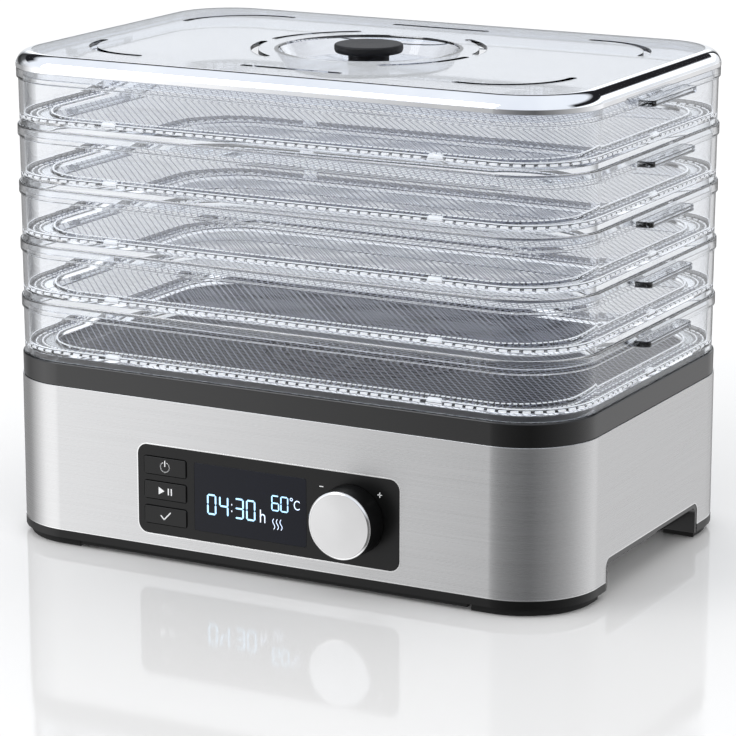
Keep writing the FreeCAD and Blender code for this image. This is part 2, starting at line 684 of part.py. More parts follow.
def make_lid_knob():
    dish_floor = seat_height(0) + LID_HEIGHT - DISH_DEPTH
    disc_top = seat_height(0) + LID_HEIGHT + 2.0
    disc = post(0, 0, disc_top - LID_KNOB_THICK, disc_top, LID_KNOB_R)
    rims = [e for e in disc.Edges if abs(e.BoundBox.ZMin - e.BoundBox.ZMax) < 0.01]
    disc = disc.makeFillet(1.4, rims)
    neck = post(0, 0, dish_floor, disc_top - LID_KNOB_THICK + 1, LID_KNOB_NECK_R)
    knob = union([disc, neck])
    return knob.cut(post(0, 0, dish_floor - 1, dish_floor + 6, 1.8))


def make_lid_knob_screw():
    under = seat_height(0) + LID_HEIGHT - DISH_DEPTH - 2.0
    return union([post(0, 0, under - 2, under, 4), post(0, 0, under, under + 7.5, 1.75)])


# ---------------------------------------------------------------- build
def build():
    os.makedirs("parts", exist_ok=True)
    makers = {
        "steel_shell": make_steel_shell,
        "top_rim": make_top_rim,
        "air_deck": make_air_deck,
        "bottom_cover": make_bottom_cover,
        "cord_gland": make_cord_gland,
        "cover_screws": make_cover_screws,
        "control_fascia": make_control_fascia,
        "display_window": make_display_window,
        "display_module": make_display_module,
        "control_board": make_control_board,
        "board_screws": make_board_screws,
        "tact_switches": make_tact_switches,
        "encoder_body": make_encoder_body,
        "encoder_shaft": make_encoder_shaft,
        "dial_body": make_dial_body,
        "dial_cap": make_dial_cap,
        "air_duct": make_air_duct,
        "motor_bracket": make_motor_bracket,
        "motor_screws": make_motor_screws,
        "fan_motor": make_fan_motor,
        "motor_shaft": make_motor_shaft,
        "impeller": make_impeller,
        "heater_frame": make_heater_frame,
        "heater_coil": make_heater_coil,
        "thermal_cutout": make_thermal_cutout,
        "temperature_sensor": make_temperature_sensor,
        "power_board": make_power_board,
        "terminal_block": make_terminal_block,
        "lid": make_lid,
        "lid_knob": make_lid_knob,
        "lid_knob_screw": make_lid_knob_screw,
    }
    for name, maker in makers.items():
        save(name, maker())
    for side_x, x_name in ((-1, "left"), (1, "right")):
        for side_y, y_name in ((-1, "front"), (1, "rear")):
            save("foot_" + y_name + "_" + x_name, make_foot(side_x, side_y))
    for name, bottom in KEY_BOTTOMS.items():
        save(name, make_key(bottom))
    for level in range(1, TRAY_COUNT + 1):
        save("tray_" + str(level), make_tray(level))
        save("tray_mesh_" + str(level), make_tray_mesh(level))


build()
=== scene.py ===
"""Looks of the food dehydrator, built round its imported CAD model. Lengths here are millimetres."""
import json
import math

import bmesh
import bpy
from mathutils import Matrix, Vector


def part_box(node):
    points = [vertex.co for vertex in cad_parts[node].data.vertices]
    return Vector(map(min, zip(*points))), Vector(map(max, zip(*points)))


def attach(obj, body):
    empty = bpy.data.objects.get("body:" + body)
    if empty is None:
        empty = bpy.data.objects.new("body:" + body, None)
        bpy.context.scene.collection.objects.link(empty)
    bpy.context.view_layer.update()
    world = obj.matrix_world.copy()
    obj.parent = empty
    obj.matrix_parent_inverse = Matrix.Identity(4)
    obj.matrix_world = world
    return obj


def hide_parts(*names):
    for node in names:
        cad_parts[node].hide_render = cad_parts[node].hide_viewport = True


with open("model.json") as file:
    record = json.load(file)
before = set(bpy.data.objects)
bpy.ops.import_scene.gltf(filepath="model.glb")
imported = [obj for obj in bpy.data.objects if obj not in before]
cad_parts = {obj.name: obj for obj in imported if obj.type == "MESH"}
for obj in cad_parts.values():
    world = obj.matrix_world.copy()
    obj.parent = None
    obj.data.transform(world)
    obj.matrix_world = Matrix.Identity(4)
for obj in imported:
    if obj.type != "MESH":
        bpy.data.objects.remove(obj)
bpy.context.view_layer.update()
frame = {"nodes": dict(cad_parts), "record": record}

MM = 0.001


def node_box(node):
    """A CAD node's lowest and highest corners at rest, in millimetres."""
    low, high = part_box(node)
    return low / MM, high / MM


# ---------------- sizes read from the frame
SHELL_LOW, SHELL_HIGH = node_box("steel_shell")
HALF_X = SHELL_HIGH.x
HALF_Y = SHELL_HIGH.y
FRONT_Y = SHELL_LOW.y
CORNER_R = 36.0
CORNER_STEPS = 20

TRAY_COUNT = 5
TRAY_TOPS = {k: node_box("tray_%d" % k)[1].z for k in range(1, TRAY_COUNT + 1)}
TRAY_PITCH = TRAY_TOPS[1] - TRAY_TOPS[2]
TRAY_NEST = 4.0                 # how far a tray sits down into the one below
TRAY_FLOOR = (2.3, 3.8)         # floor border, above the tray's seat
MESH_INSET = 14.0
MESH_PLAN_R = 30.0
TAB_X = 83.0
TAB_INSET = 4.6

KEYS = ("power_button", "start_pause_button", "set_button")
KEY_COLLAR = 1.1                # hidden collar of a key, behind the fascia
FASCIA_FLANGE = (3.0, 2.6)      # how far the fascia reaches behind the steel, along X and Z
PANEL_R = 5.0
SIGN_DEPTH = 0.06               # printed signs stand this far out of the surface

HOLD_HALF = 52.0                # the hand-holds cut in the steel's two ends
HOLD_R = 4.0
HOLD_TOP = node_box("bottom_cover")[1].z + 0.15


# ---------------- mesh helpers
def new_object(name, verts, faces):
    """A mesh object from millimetre vertices, with its normals facing out."""
    mesh = bpy.data.meshes.new(name)
    mesh.from_pydata([Vector(v) * MM for v in verts], [], faces)
    obj = bpy.data.objects.new(name, mesh)
    bpy.context.scene.collection.objects.link(obj)
    bm = bmesh.new()
    bm.from_mesh(mesh)
    bmesh.ops.recalc_face_normals(bm, faces=bm.faces)
    bm.to_mesh(mesh)
    bm.free()
    return obj


def outline(inset, plan_r=None, steps=CORNER_STEPS):
    """Points round the body's rounded plan outline, drawn in by inset."""
    r = CORNER_R - inset if plan_r is None else plan_r
    cx = HALF_X - inset - r
    cy = HALF_Y - inset - r
    points = []
    for sx, sy, start in ((1, 1, 0), (-1, 1, 90), (-1, -1, 180), (1, -1, 270)):
        for i in range(steps + 1):
            a = math.radians(start + 90.0 * i / steps)
            points.append((sx * cx + r * math.cos(a), sy * cy + r * math.sin(a)))
    return points


def rounded(points, segments=5):
    """Rounds a profile's corners. A point is (u, v, radius, *more); the radius may be 0."""
    out = []
    count = len(points)
    for i, point in enumerate(points):
        here = Vector(point[:2])
        r = point[2]
        more = tuple(point[3:])
        before = Vector(points[i - 1][:2]) - here
        after = Vector(points[(i + 1) % count][:2]) - here
        if r <= 0 or before.length < 1e-6 or after.length < 1e-6:
            out.append((here.x, here.y) + more)
            continue
        before.normalize()
        after.normalize()
        angle = before.angle(after)
        reach = r / math.tan(angle / 2)
        centre = here + (before + after).normalized() * (r / math.sin(angle / 2))
        first = here + before * reach - centre
        last = here + after * reach - centre
        sweep_angle = first.angle_signed(last)
        for j in range(segments + 1):
            turn = Matrix.Rotation(-sweep_angle * j / segments, 2)
            spot = centre + turn @ first
            out.append((spot.x, spot.y) + more)
    return out


def sweep(name, profile, closed=True, steps=CORNER_STEPS):
    """Sweeps a profile of (inset, z[, plan radius]) round the body's outline."""
    verts = []
    for point in profile:
        plan_r = point[2] if len(point) > 2 else None
        verts += [(x, y, point[1]) for x, y in outline(point[0], plan_r, steps)]
    n = 4 * (steps + 1)
    rings = len(profile)
    faces = []
    for j in range(rings if closed else rings - 1):
        k = (j + 1) % rings
        for i in range(n):
            i2 = (i + 1) % n
            faces.append((j * n + i, j * n + i2, k * n + i2, k * n + i))
    if not closed:
        faces.append(tuple(range(n)))
        faces.append(tuple((rings - 1) * n + i for i in reversed(range(n))))
    return new_object(name, verts, faces)


def turned(name, profile, centre, axis="Z", steps=96):
    """Turns a profile of (radius, height) about an axis through centre; its ends are capped."""
    verts = []
    for r, h in profile:
        for i in range(steps):
            a = 2 * math.pi * i / steps
            if axis == "Z":
                spot = (r * math.cos(a), r * math.sin(a), h)
            else:
                spot = (r * math.cos(a), -h, r * math.sin(a))
            verts.append(Vector(centre) + Vector(spot))
    faces = []
    for j in range(len(profile) - 1):
        for i in range(steps):
            i2 = (i + 1) % steps
            faces.append((j * steps + i, j * steps + i2, (j + 1) * steps + i2, (j + 1) * steps + i))
    faces.append(tuple(range(steps)))
    faces.append(tuple((len(profile) - 1) * steps + i for i in reversed(range(steps))))
    return new_object(name, verts, faces)


def prism(name, polygon, low, high, plane="XY"):
    """A polygon raised from low to high along the axis that is square to its plane."""
    n = len(polygon)

    def place(u, v, w):
        return {"XY": (u, v, w), "XZ": (u, w, v), "YZ": (w, u, v)}[plane]

    verts = [place(u, v, w) for w in (low, high) for u, v in polygon]
    faces = [tuple(range(n)), tuple(n + i for i in reversed(range(n)))]
    faces += [(i, (i + 1) % n, n + (i + 1) % n, n + i) for i in range(n)]
    return new_object(name, verts, faces)


def join(name, objects):
    """Joins the meshes of several objects into one new object."""
    bm = bmesh.new()
    for obj in objects:
        bm.from_mesh(obj.data)
        bpy.data.objects.remove(obj)
    mesh = bpy.data.meshes.new(name)
    bm.to_mesh(mesh)
    bm.free()
    joined = bpy.data.objects.new(name, mesh)
    bpy.context.scene.collection.objects.link(joined)
    return joined


def carve(obj, cutters, operation="DIFFERENCE"):
    """Applies one boolean per cutter and removes the cutters."""
    for cutter in cutters:
        modifier = obj.modifiers.new("carve", "BOOLEAN")
        modifier.operation = operation
        modifier.solver = "MANIFOLD"
        modifier.object = cutter
    depsgraph = bpy.context.evaluated_depsgraph_get()
    mesh = bpy.data.meshes.new_from_object(obj.evaluated_get(depsgraph))
    obj.modifiers.clear()
    obj.data = mesh
    for cutter in cutters:
        bpy.data.objects.remove(cutter)
    return obj


def soften(obj, width, segments=2, angle=32.0):
    """Rounds an object's sharp edges and keeps its flat faces flat in shading."""
    for polygon in obj.data.polygons:
        polygon.use_smooth = True
    if width > 0:
        bevel = obj.modifiers.new("edges", "BEVEL")
        bevel.width = width * MM
        bevel.segments = segments
        bevel.limit_method = "ANGLE"
        bevel.angle_limit = math.radians(angle)
        bevel.use_clamp_overlap = True
        bevel.miter_outer = "MITER_ARC"
    else:
        obj.data.set_sharp_from_angle(angle=math.radians(angle))
    weighted = obj.modifiers.new("normals", "WEIGHTED_NORMAL")
    weighted.keep_sharp = True
    return obj


def put(obj, material, body, nodes=()):
    """Gives a piece its material and its body, and hides the CAD nodes that it stands for."""
    obj.data.materials.clear()
    obj.data.materials.append(material)
    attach(obj, body)
    if nodes:
        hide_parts(*nodes)
    return obj


# ---------------- materials
def shader(name):
    """A new material, its node tree and its surface shader."""
    material = bpy.data.materials.new(name)
    material.use_nodes = True
    return material, material.node_tree, material.node_tree.nodes["Principled BSDF"]


def noise(tree, scale, detail=3.0, stretch=(1, 1, 1)):
    """Noise in the object's own metres, stretched along its axes."""
    place = tree.nodes.new("ShaderNodeTexCoord")
    mapping = tree.nodes.new("ShaderNodeMapping")
    mapping.inputs["Scale"].default_value = stretch
    texture = tree.nodes.new("ShaderNodeTexNoise")
    texture.inputs["Scale"].default_value = scale
    texture.inputs["Detail"].default_value = detail
    tree.links.new(place.outputs["Object"], mapping.inputs["Vector"])
    tree.links.new(mapping.outputs["Vector"], texture.inputs["Vector"])
    return texture.outputs["Fac"]


def vary_colour(tree, bsdf, factor, dark, light):
    """The base colour goes from dark to light with the factor."""
    ramp = tree.nodes.new("ShaderNodeValToRGB")
    ramp.color_ramp.elements[0].position = 0.3
    ramp.color_ramp.elements[0].color = (*dark, 1)
    ramp.color_ramp.elements[1].position = 0.7
    ramp.color_ramp.elements[1].color = (*light, 1)
    tree.links.new(factor, ramp.inputs["Fac"])
    tree.links.new(ramp.outputs["Color"], bsdf.inputs["Base Color"])


def vary_roughness(tree, bsdf, factor, low, high):
    """The roughness goes from low to high with the factor."""
    span = tree.nodes.new("ShaderNodeMapRange")
    span.inputs["To Min"].default_value = low
    span.inputs["To Max"].default_value = high
    tree.links.new(factor, span.inputs["Value"])
    tree.links.new(span.outputs["Result"], bsdf.inputs["Roughness"])


def raise_grain(tree, bsdf, factor, height, strength):
    """A bump that is height millimetres deep."""
    bump = tree.nodes.new("ShaderNodeBump")
    bump.inputs["Distance"].default_value = height * MM
    bump.inputs["Strength"].default_value = strength
    tree.links.new(factor, bump.inputs["Height"])
    tree.links.new(bump.outputs["Normal"], bsdf.inputs["Normal"])


def moulded(name, colour, roughness, grain=2200.0, height=0.02, strength=0.35, metallic=0.0,
            specular=0.5):
    """Moulded plastic, rubber or painted metal: a fine grain and a slow change of tone."""
    material, tree, bsdf = shader(name)
    slow = noise(tree, 22.0)
    vary_colour(tree, bsdf, slow, [c * 0.88 for c in colour], [min(c * 1.12, 1) for c in colour])
    fine = noise(tree, grain, detail=2.0)
    vary_roughness(tree, bsdf, fine, roughness * 0.88, min(roughness * 1.12, 1))
    raise_grain(tree, bsdf, fine, height, strength)
    bsdf.inputs["Metallic"].default_value = metallic
    bsdf.inputs["Specular IOR Level"].default_value = specular
    return material


def brushed_steel(name, tone=0.60):
    """Stainless sheet with fine horizontal brushing."""
    material, tree, bsdf = shader(name)
    lines = noise(tree, 1.0, detail=4.0, stretch=(14.0, 14.0, 5200.0))
    vary_colour(tree, bsdf, lines, (tone * 0.96,) * 3, (tone * 1.04,) * 3)
    vary_roughness(tree, bsdf, lines, 0.24, 0.32)
    raise_grain(tree, bsdf, lines, 0.003, 0.2)
    tangent = tree.nodes.new("ShaderNodeTangent")
    tangent.direction_type = "RADIAL"
    tangent.axis = "Z"
    tree.links.new(tangent.outputs["Tangent"], bsdf.inputs["Tangent"])
    bsdf.inputs["Metallic"].default_value = 1.0
    bsdf.inputs["Anisotropic"].default_value = 0.85
    bsdf.inputs["Anisotropic Rotation"].default_value = 0.25
    return material


def clear_plastic(name, tint, roughness=0.015, ripple=0.02):
    """Clear moulded plastic with faint ripples from the mould."""
    material, tree, bsdf = shader(name)
    waves = noise(tree, 60.0, detail=1.0)
    vary_colour(tree, bsdf, waves, tint, [min(1.0, c + 0.02) for c in tint])
    raise_grain(tree, bsdf, waves, ripple, 0.3)
    bsdf.inputs["Roughness"].default_value = roughness
    bsdf.inputs["IOR"].default_value = 1.46
    bsdf.inputs["Transmission Weight"].default_value = 1.0
    return material


def frosted_plastic(name, colour, alpha, painted_glow=0.0):
    """The milky look of fine moulded ribs and mesh in clear plastic, with an optional emission that
    is a painted glow: it lightens the plastic though it is no lamp.
    """
    material, tree, bsdf = shader(name)
    fine = noise(tree, 900.0, detail=2.0)
    vary_colour(tree, bsdf, fine, [c * 0.9 for c in colour], colour)
    raise_grain(tree, bsdf, fine, 0.02, 0.3)
    bsdf.inputs["Roughness"].default_value = 0.22
    bsdf.inputs["Alpha"].default_value = alpha
    # Painted glow: an emission that makes the plastic look lit.
    if painted_glow > 0:
        bsdf.inputs["Emission Color"].default_value = (*colour, 1)
        bsdf.inputs["Emission Strength"].default_value = painted_glow
    return material


def glowing(name, colour, strength):
    """A lit bar of the display."""
    material, tree, bsdf = shader(name)
    fine = noise(tree, 400.0)
    vary_colour(tree, bsdf, fine, [c * 0.9 for c in colour], colour)
    bsdf.inputs["Emission Color"].default_value = (*colour, 1)
    bsdf.inputs["Emission Strength"].default_value = strength
    return material


STEEL = brushed_steel("steel_brushed")
POLISHED = moulded("steel_polished", (0.86,) * 3, 0.12, metallic=1.0, height=0.001)
ZINC = moulded("zinc_plate", (0.55,) * 3, 0.35, metallic=1.0)
BLACK = moulded("black_moulded", (0.002,) * 3, 0.19, specular=0.74)
BASE_BLACK = moulded("black_base", (0.002,) * 3, 0.34, specular=0.32)
DECK = moulded("black_deck", (0.008, 0.008, 0.010), 0.45, specular=0.3)
RUBBER = moulded("rubber_black", (0.008,) * 3, 0.62, grain=1200.0, specular=0.2)
FASCIA = moulded("fascia_black", (0.003,) * 3, 0.34, height=0.006, specular=0.36)
# Near-black and dull: painted shade for the gaps round the keys.
KEY_GAP_SHADE = moulded("key_gap_painted_shade", (0.001,) * 3, 0.6, specular=0.05)
DISPLAY = moulded("display_smoked", (0.003, 0.004, 0.009), 0.10, height=0.001, strength=0.1,
                  specular=0.28)
KEY = moulded("key_black", (0.004,) * 3, 0.36, height=0.006, specular=0.4)
DIAL_SIDE = moulded("dial_black", (0.004,) * 3, 0.40, height=0.008, specular=0.2)
DIAL_FACE = moulded("dial_silver", (0.58,) * 3, 0.30, metallic=0.5, height=0.003)
KNOB = moulded("knob_black", (0.010, 0.010, 0.012), 0.50, grain=900.0, height=0.04, specular=0.3)
CLEAR = clear_plastic("plastic_clear", (0.955, 0.968, 0.990))
LID_TOP = clear_plastic("plastic_lid", (0.88, 0.90, 0.935))
LID_EDGE = moulded("plastic_lid_edge", (0.92, 0.94, 0.98), 0.05, metallic=1.0, height=0.001)
# Frosted mesh plastic, lightened by a faint painted glow.
MILKY_PAINTED_GLOW = frosted_plastic("plastic_mesh_painted_glow", (0.44, 0.46, 0.55), 0.90, painted_glow=0.08)
# Bright rib plastic: a strong painted glow stands in for the ribs' highlights.
RIB_PAINTED_GLOW = frosted_plastic("plastic_rib_painted_glow", (0.95, 0.97, 1.0), 0.95, painted_glow=0.5)
# Dark see-through plastic: painted shade on the trays' floor borders.
PAINTED_SHADE = frosted_plastic("plastic_painted_shade", (0.02, 0.02, 0.03), 0.45)
PRINT = moulded("print_white", (0.86, 0.87, 0.88), 0.5, height=0.002)
GLOW = glowing("segments_lit", (0.42, 0.72, 1.0), 0.95)
PALE_GLOW = glowing("signs_lit", (0.72, 0.80, 0.92), 0.62)
BOARD = moulded("circuit_green", (0.02, 0.12, 0.05), 0.35)
MICA = moulded("mica_sheet", (0.5, 0.42, 0.28), 0.5)
WIRE = moulded("heater_wire", (0.3, 0.27, 0.25), 0.4, metallic=1.0)
DARK_PART = moulded("part_dark", (0.06,) * 3, 0.45)
PALE_PART = moulded("part_pale", (0.6, 0.6, 0.57), 0.5)
DUCT = moulded("duct_zinc", (0.5, 0.51, 0.52), 0.4, metallic=0.8)

SLOT_MATERIALS = {
    "brushed_steel": STEEL, "black_plastic": BLACK, "rubber_foot": RUBBER, "zinc_screw": ZINC,
    "fascia_black": FASCIA, "display_tint": DISPLAY, "display_black": DISPLAY,
    "circuit_board": BOARD, "switch_plastic": DARK_PART, "shaft_steel": ZINC,
    "dial_black": DIAL_SIDE, "dial_silver": DIAL_FACE, "key_black": KEY, "duct_metal": DUCT,
    "motor_can": ZINC, "impeller_plastic": DARK_PART, "mica_board": MICA, "heater_wire": WIRE,
    "sensor_bead": DARK_PART, "terminal_plastic": PALE_PART, "clear_plastic": CLEAR,
    "clear_mesh": MILKY_PAINTED_GLOW, "knob_black": KNOB,
}


def dress_cad_nodes():
    """Every CAD node gets the procedural material of its slot."""
    slots = {row["node"]: row["material_slot"] for row in frame["record"]["subparts"]}
    for name, obj in frame["nodes"].items():
        obj.data.materials.clear()
        obj.data.materials.append(DECK if name == "air_deck" else SLOT_MATERIALS[slots[name]])


# ---------------- base
def make_shell():
    """The steel sleeve, with rolled edges that catch the light."""
    fascia_low, fascia_high = node_box("control_fascia")
    wall = 1.0
    low, high = SHELL_LOW.z, SHELL_HIGH.z
    shell = sweep("shell", [(0, low), (0, high), (wall, high), (wall, low)])
    x1 = fascia_high.x - FASCIA_FLANGE[0]
    z0 = fascia_low.z + FASCIA_FLANGE[1]
    z1 = fascia_high.z - FASCIA_FLANGE[1]
    panel = rounded([(-x1, z0, PANEL_R), (x1, z0, PANEL_R), (x1, z1, PANEL_R), (-x1, z1, PANEL_R)], 8)
    cutters = [prism("cut", panel, FRONT_Y - 3, FRONT_Y + 3, "XZ")]
    arch = rounded([(-HOLD_HALF, -2, 0), (HOLD_HALF, -2, 0), (HOLD_HALF, HOLD_TOP, HOLD_R),
                    (-HOLD_HALF, HOLD_TOP, HOLD_R)], 6)
    for side in (-1, 1):
        cutters.append(prism("cut", arch, side * HALF_X - 4, side * HALF_X + 4, "YZ"))
    gland_low, gland_high = node_box("cord_gland")
    gland_r = 5.1
    middle = (gland_low + gland_high) / 2
    cutters.append(turned("cut", [(gland_r, -6.0), (gland_r, 6.0)], (middle.x, HALF_Y, middle.z),
                          "Y", 40))
    carve(shell, cutters)
    soften(shell, 0.3, 3)
    return put(shell, STEEL, "base", ["steel_shell"])


def make_rim():
    """The black rim between the steel and the trays."""
    low = SHELL_HIGH.z
    high = node_box("top_rim")[1].z
    deck_top = node_box("air_deck")[1].z
    deck_low = deck_top - 3
    skirt_low = low - 6.8
    ledge = 16.0
    profile = [(0.45, low, 0.3), (0.3, high, 1.0), (2.7, high, 0.5), (2.8, deck_top, 0.3),
               (ledge, deck_top, 0), (ledge, deck_low, 0), (2.6, deck_low, 0),
               (2.6, skirt_low, 0), (1.25, skirt_low, 0), (1.25, low, 0)]
    rim = sweep("rim", rounded(profile))
    soften(rim, 0)
    return put(rim, BLACK, "base", ["top_rim"])


def make_base_shade_strips():
    """Dark strips under the front and back edges of the bottom cover, between the feet: painted shade
    that darkens the gap above the floor.
    """
    top = node_box("bottom_cover")[0].z + 0.2
    depth = 2.1
    reach = -node_box("foot_front_left")[1].x - 1.0
    shade_strips = []
    for side in (-1, 1):
        near, far = sorted((side * (HALF_Y - 1.2), side * (HALF_Y - 4.2)))
        shade_strips.append(prism("part", [(-reach, near), (reach, near), (reach, far), (-reach, far)],
                          top - depth, top))
    # Painted shade: dark rubber strips that keep light out of the gap under the body.
    lip = join("base_painted_shade_strips", shade_strips)
    soften(lip, 0.2)
    put(lip, RUBBER, "base")


def make_base_skirt():
    """The black skirt at the foot of the steel sleeve, partly the black base and partly painted shade
    under the steel, and the bright line above it.
    """
    low = node_box("bottom_cover")[0].z + 0.1
    top = SHELL_LOW.z + 1.6
    line_top = top + 0.35
    # The skirt reaches 1.6 mm up the steel: a black base that also stands for painted shade below the
    # steel.
    for name, inset, z0, z1, material, slot in (
            ("base_skirt_and_painted_shade", -0.12, low, top, BASE_BLACK, "black_plastic"),
            ("base_bright_line", -0.14, top, line_top, POLISHED, "brushed_steel")):
        ring = sweep(name, [(inset, z0), (inset, z1), (0.1, z1), (0.1, z0)])
        cutters = []
        for side in (-1, 1):
            x0, x1 = side * HALF_X - 4, side * HALF_X + 4
            plan = [(x0, -HOLD_HALF), (x1, -HOLD_HALF), (x1, HOLD_HALF), (x0, HOLD_HALF)]
            cutters.append(prism("cut", plan, z0 - 1, z1 + 1))
        carve(ring, cutters)
        soften(ring, 0, angle=40)
        put(ring, material, "base")
    make_hold_trims(top)


def make_hold_trims(low):
    """The bright cut edge of the steel round each hand-hold, above the skirt."""
    width = 0.45
    outer = HOLD_HALF + width
    arch = rounded([(-outer, low, 0), (-outer, HOLD_TOP + width, HOLD_R + width),
                    (outer, HOLD_TOP + width, HOLD_R + width), (outer, low, 0),
                    (HOLD_HALF, low, 0), (HOLD_HALF, HOLD_TOP, HOLD_R),
                    (-HOLD_HALF, HOLD_TOP, HOLD_R), (-HOLD_HALF, low, 0)], 8)
    for side, label in ((-1, "left"), (1, "right")):
        near, far = sorted((side * (HALF_X - 0.3), side * (HALF_X + 0.06)))
        trim = prism("hold_trim_" + label, arch, near, far, "YZ")
        put(trim, POLISHED, "base")


def sharpen_nodes():
    """Small rounded edges on CAD nodes whose shape is already right."""
    widths = {"bottom_cover": 0.35, "control_fascia": 0.25, "display_window": 0.15,
              "cord_gland": 0.4}
    widths.update({key: 0.25 for key in KEYS})
    widths.update({"foot_%s_%s" % (end, side): 0.5
                   for end in ("front", "rear") for side in ("left", "right")})
    for name, width in widths.items():
        obj = frame["nodes"][name]
        weld = obj.modifiers.new("weld", "WELD")
        weld.merge_threshold = 0.005 * MM
        flat = obj.modifiers.new("flat", "DECIMATE")
        flat.decimate_type = "DISSOLVE"
        flat.angle_limit = math.radians(0.5)
        bevel = obj.modifiers.new("edges", "BEVEL")
        bevel.width = width * MM
        bevel.segments = 2
        bevel.limit_method = "ANGLE"
        bevel.angle_limit = math.radians(35)
        obj.modifiers.new("normals", "WEIGHTED_NORMAL")


# ---------------- panel
def stroke(points, width, closed=False):
    """Polygons of a line of even width: one four-sided piece per step."""
    pieces = []
    count = len(points)
    for i in range(count if closed else count - 1):
        a = Vector(points[i])
        b = Vector(points[(i + 1) % count])
        along = (b - a).normalized() * width * 0.25
        side = Vector((-along.y, along.x)).normalized() * width / 2
        if not closed and i in (0, count - 2):
            along = along * 0.5
        a = a - along
        b = b + along
        pieces.append([a - side, b - side, b + side, a + side])
    return pieces


def arc(cx, cz, r, start, end, steps=28):
    """Points along an arc, from one angle to another in degrees."""
    points = []
    for i in range(steps + 1):
        a = math.radians(start + (end - start) * i / steps)
        points.append((cx + r * math.cos(a), cz + r * math.sin(a)))
    return points


def sign(name, polygons, y, material, body):
    """Flat printed or lit polygons that stand a hair out of a front surface."""
    parts = []
    for polygon in polygons:
        parts.append(prism("part", [tuple(p) for p in polygon], y - SIGN_DEPTH, y, "XZ"))
    return put(join(name, parts), material, body)


SEGMENTS = {"0": "abcdef", "3": "abcdg", "4": "bcfg", "6": "acdefg"}


def digit(char, x, z, width, height, thick):
    """The lit bars of one seven-bar figure whose lower left corner is at x, z."""
    gap = 0.12
    t = thick / 2
    mid = z + height / 2
    ends = {
        "a": ((x, z + height), (x + width, z + height)), "d": ((x, z), (x + width, z)),
        "g": ((x, mid), (x + width, mid)), "b": ((x + width, mid), (x + width, z + height)),
        "c": ((x + width, z), (x + width, mid)), "e": ((x, z), (x, mid)),
        "f": ((x, mid), (x, z + height)),
    }
    bars = []
    for key in SEGMENTS[char]:
        a = Vector(ends[key][0])
        b = Vector(ends[key][1])
        along = (b - a).normalized()
        side = Vector((-along.y, along.x)) * t
        a = a + along * gap
        b = b - along * gap
        bars.append([a, a + along * t - side, b - along * t - side, b, b - along * t + side,
                     a + along * t + side])
    return bars


def make_display():
    """The time, the temperature and their signs, as lit bars."""
    low, high = node_box("display_window")
    time_x, time_z = low.x + 7.1, low.z + 8.9
    temp_x, temp_z = low.x + 40.8, low.z + 15.2
    pitch = 6.4
    size = (4.1, 9.0)
    bars = []
    for i, char in enumerate("04"):
        bars += digit(char, time_x + i * pitch, time_z, *size, 0.8)
    for i, char in enumerate("30"):
        bars += digit(char, time_x + 14.5 + i * pitch * 0.95, time_z, *size, 0.8)
    for i, char in enumerate("60"):
        bars += digit(char, temp_x + i * 4.7, temp_z, 3.5, 6.8, 0.62)
    sign("display_figures", bars, low.y, GLOW, "base")
    marks = hour_marks(time_x, time_z) + degree_marks(temp_x, temp_z)
    marks += warm_air_marks(temp_x, low.z + 6.3)
    sign("display_marks", marks, low.y, PALE_GLOW, "base")


def hour_marks(x, z):
    """The colon between the time's figures and the letter h after them."""
    marks = []
    colon = x + 12.65
    for dz in (2.8, 5.9):
        marks += stroke([(colon, z + dz - 0.3), (colon, z + dz + 0.3)], 0.5)
    stem = x + 27.7
    marks += stroke([(stem, z - 0.3), (stem, z + 5.6)], 0.55)
    marks += stroke([(stem, z + 2.3)] + arc(stem + 1.15, z + 2.4, 1.1, 150, 0, 10)
                    + [(stem + 2.25, z - 0.3)], 0.52)
    return marks


def degree_marks(x, z):
    """The degree ring and the letter C, which is a tall arc."""
    middle = z + 3.9
    tall = 1.25
    letter = [(u, middle + (v - middle) * tall) for u, v in arc(x + 13.2, middle, 1.6, 45, 315, 20)]
    ring = arc(x + 10.1, z + 6.3, 0.62, 0, 360, 16)[:-1]
    return stroke(ring, 0.3, True) + stroke(letter, 0.45)


def warm_air_marks(x, z, height=4.9, steps=14):
    """Three upright waves side by side."""
    marks = []
    for i in range(3):
        wave = []
        for j in range(steps + 1):
            t = j / steps
            wave.append((x + 0.9 + i * 1.9 + 0.55 * math.sin(t * 2 * math.pi), z + t * height))
        marks += stroke(wave, 0.34)
    return marks


def ring_plate(name, x0, x1, z0, z1, r, width, y_front, y_back):
    """A rounded rectangular frame, standing on the front, from y_front back to y_back."""
    outer = rounded([(x0, z0, r), (x1, z0, r), (x1, z1, r), (x0, z1, r)], 8)
    inner = rounded([(x0 + width, z0 + width, r - width), (x1 - width, z0 + width, r - width),
                     (x1 - width, z1 - width, r - width), (x0 + width, z1 - width, r - width)], 8)
    verts = [(x, y, z) for y in (y_front, y_back) for x, z in outer + inner]
    n = len(outer)
    m = 2 * n
    faces = []
    for i in range(n):
        j = (i + 1) % n
        faces.append((i, j, n + j, n + i))
        faces.append((m + i, m + n + i, m + n + j, m + j))
        faces.append((i, m + i, m + j, j))
        faces.append((n + i, n + j, m + n + j, m + n + i))
    return new_object(name, verts, faces)


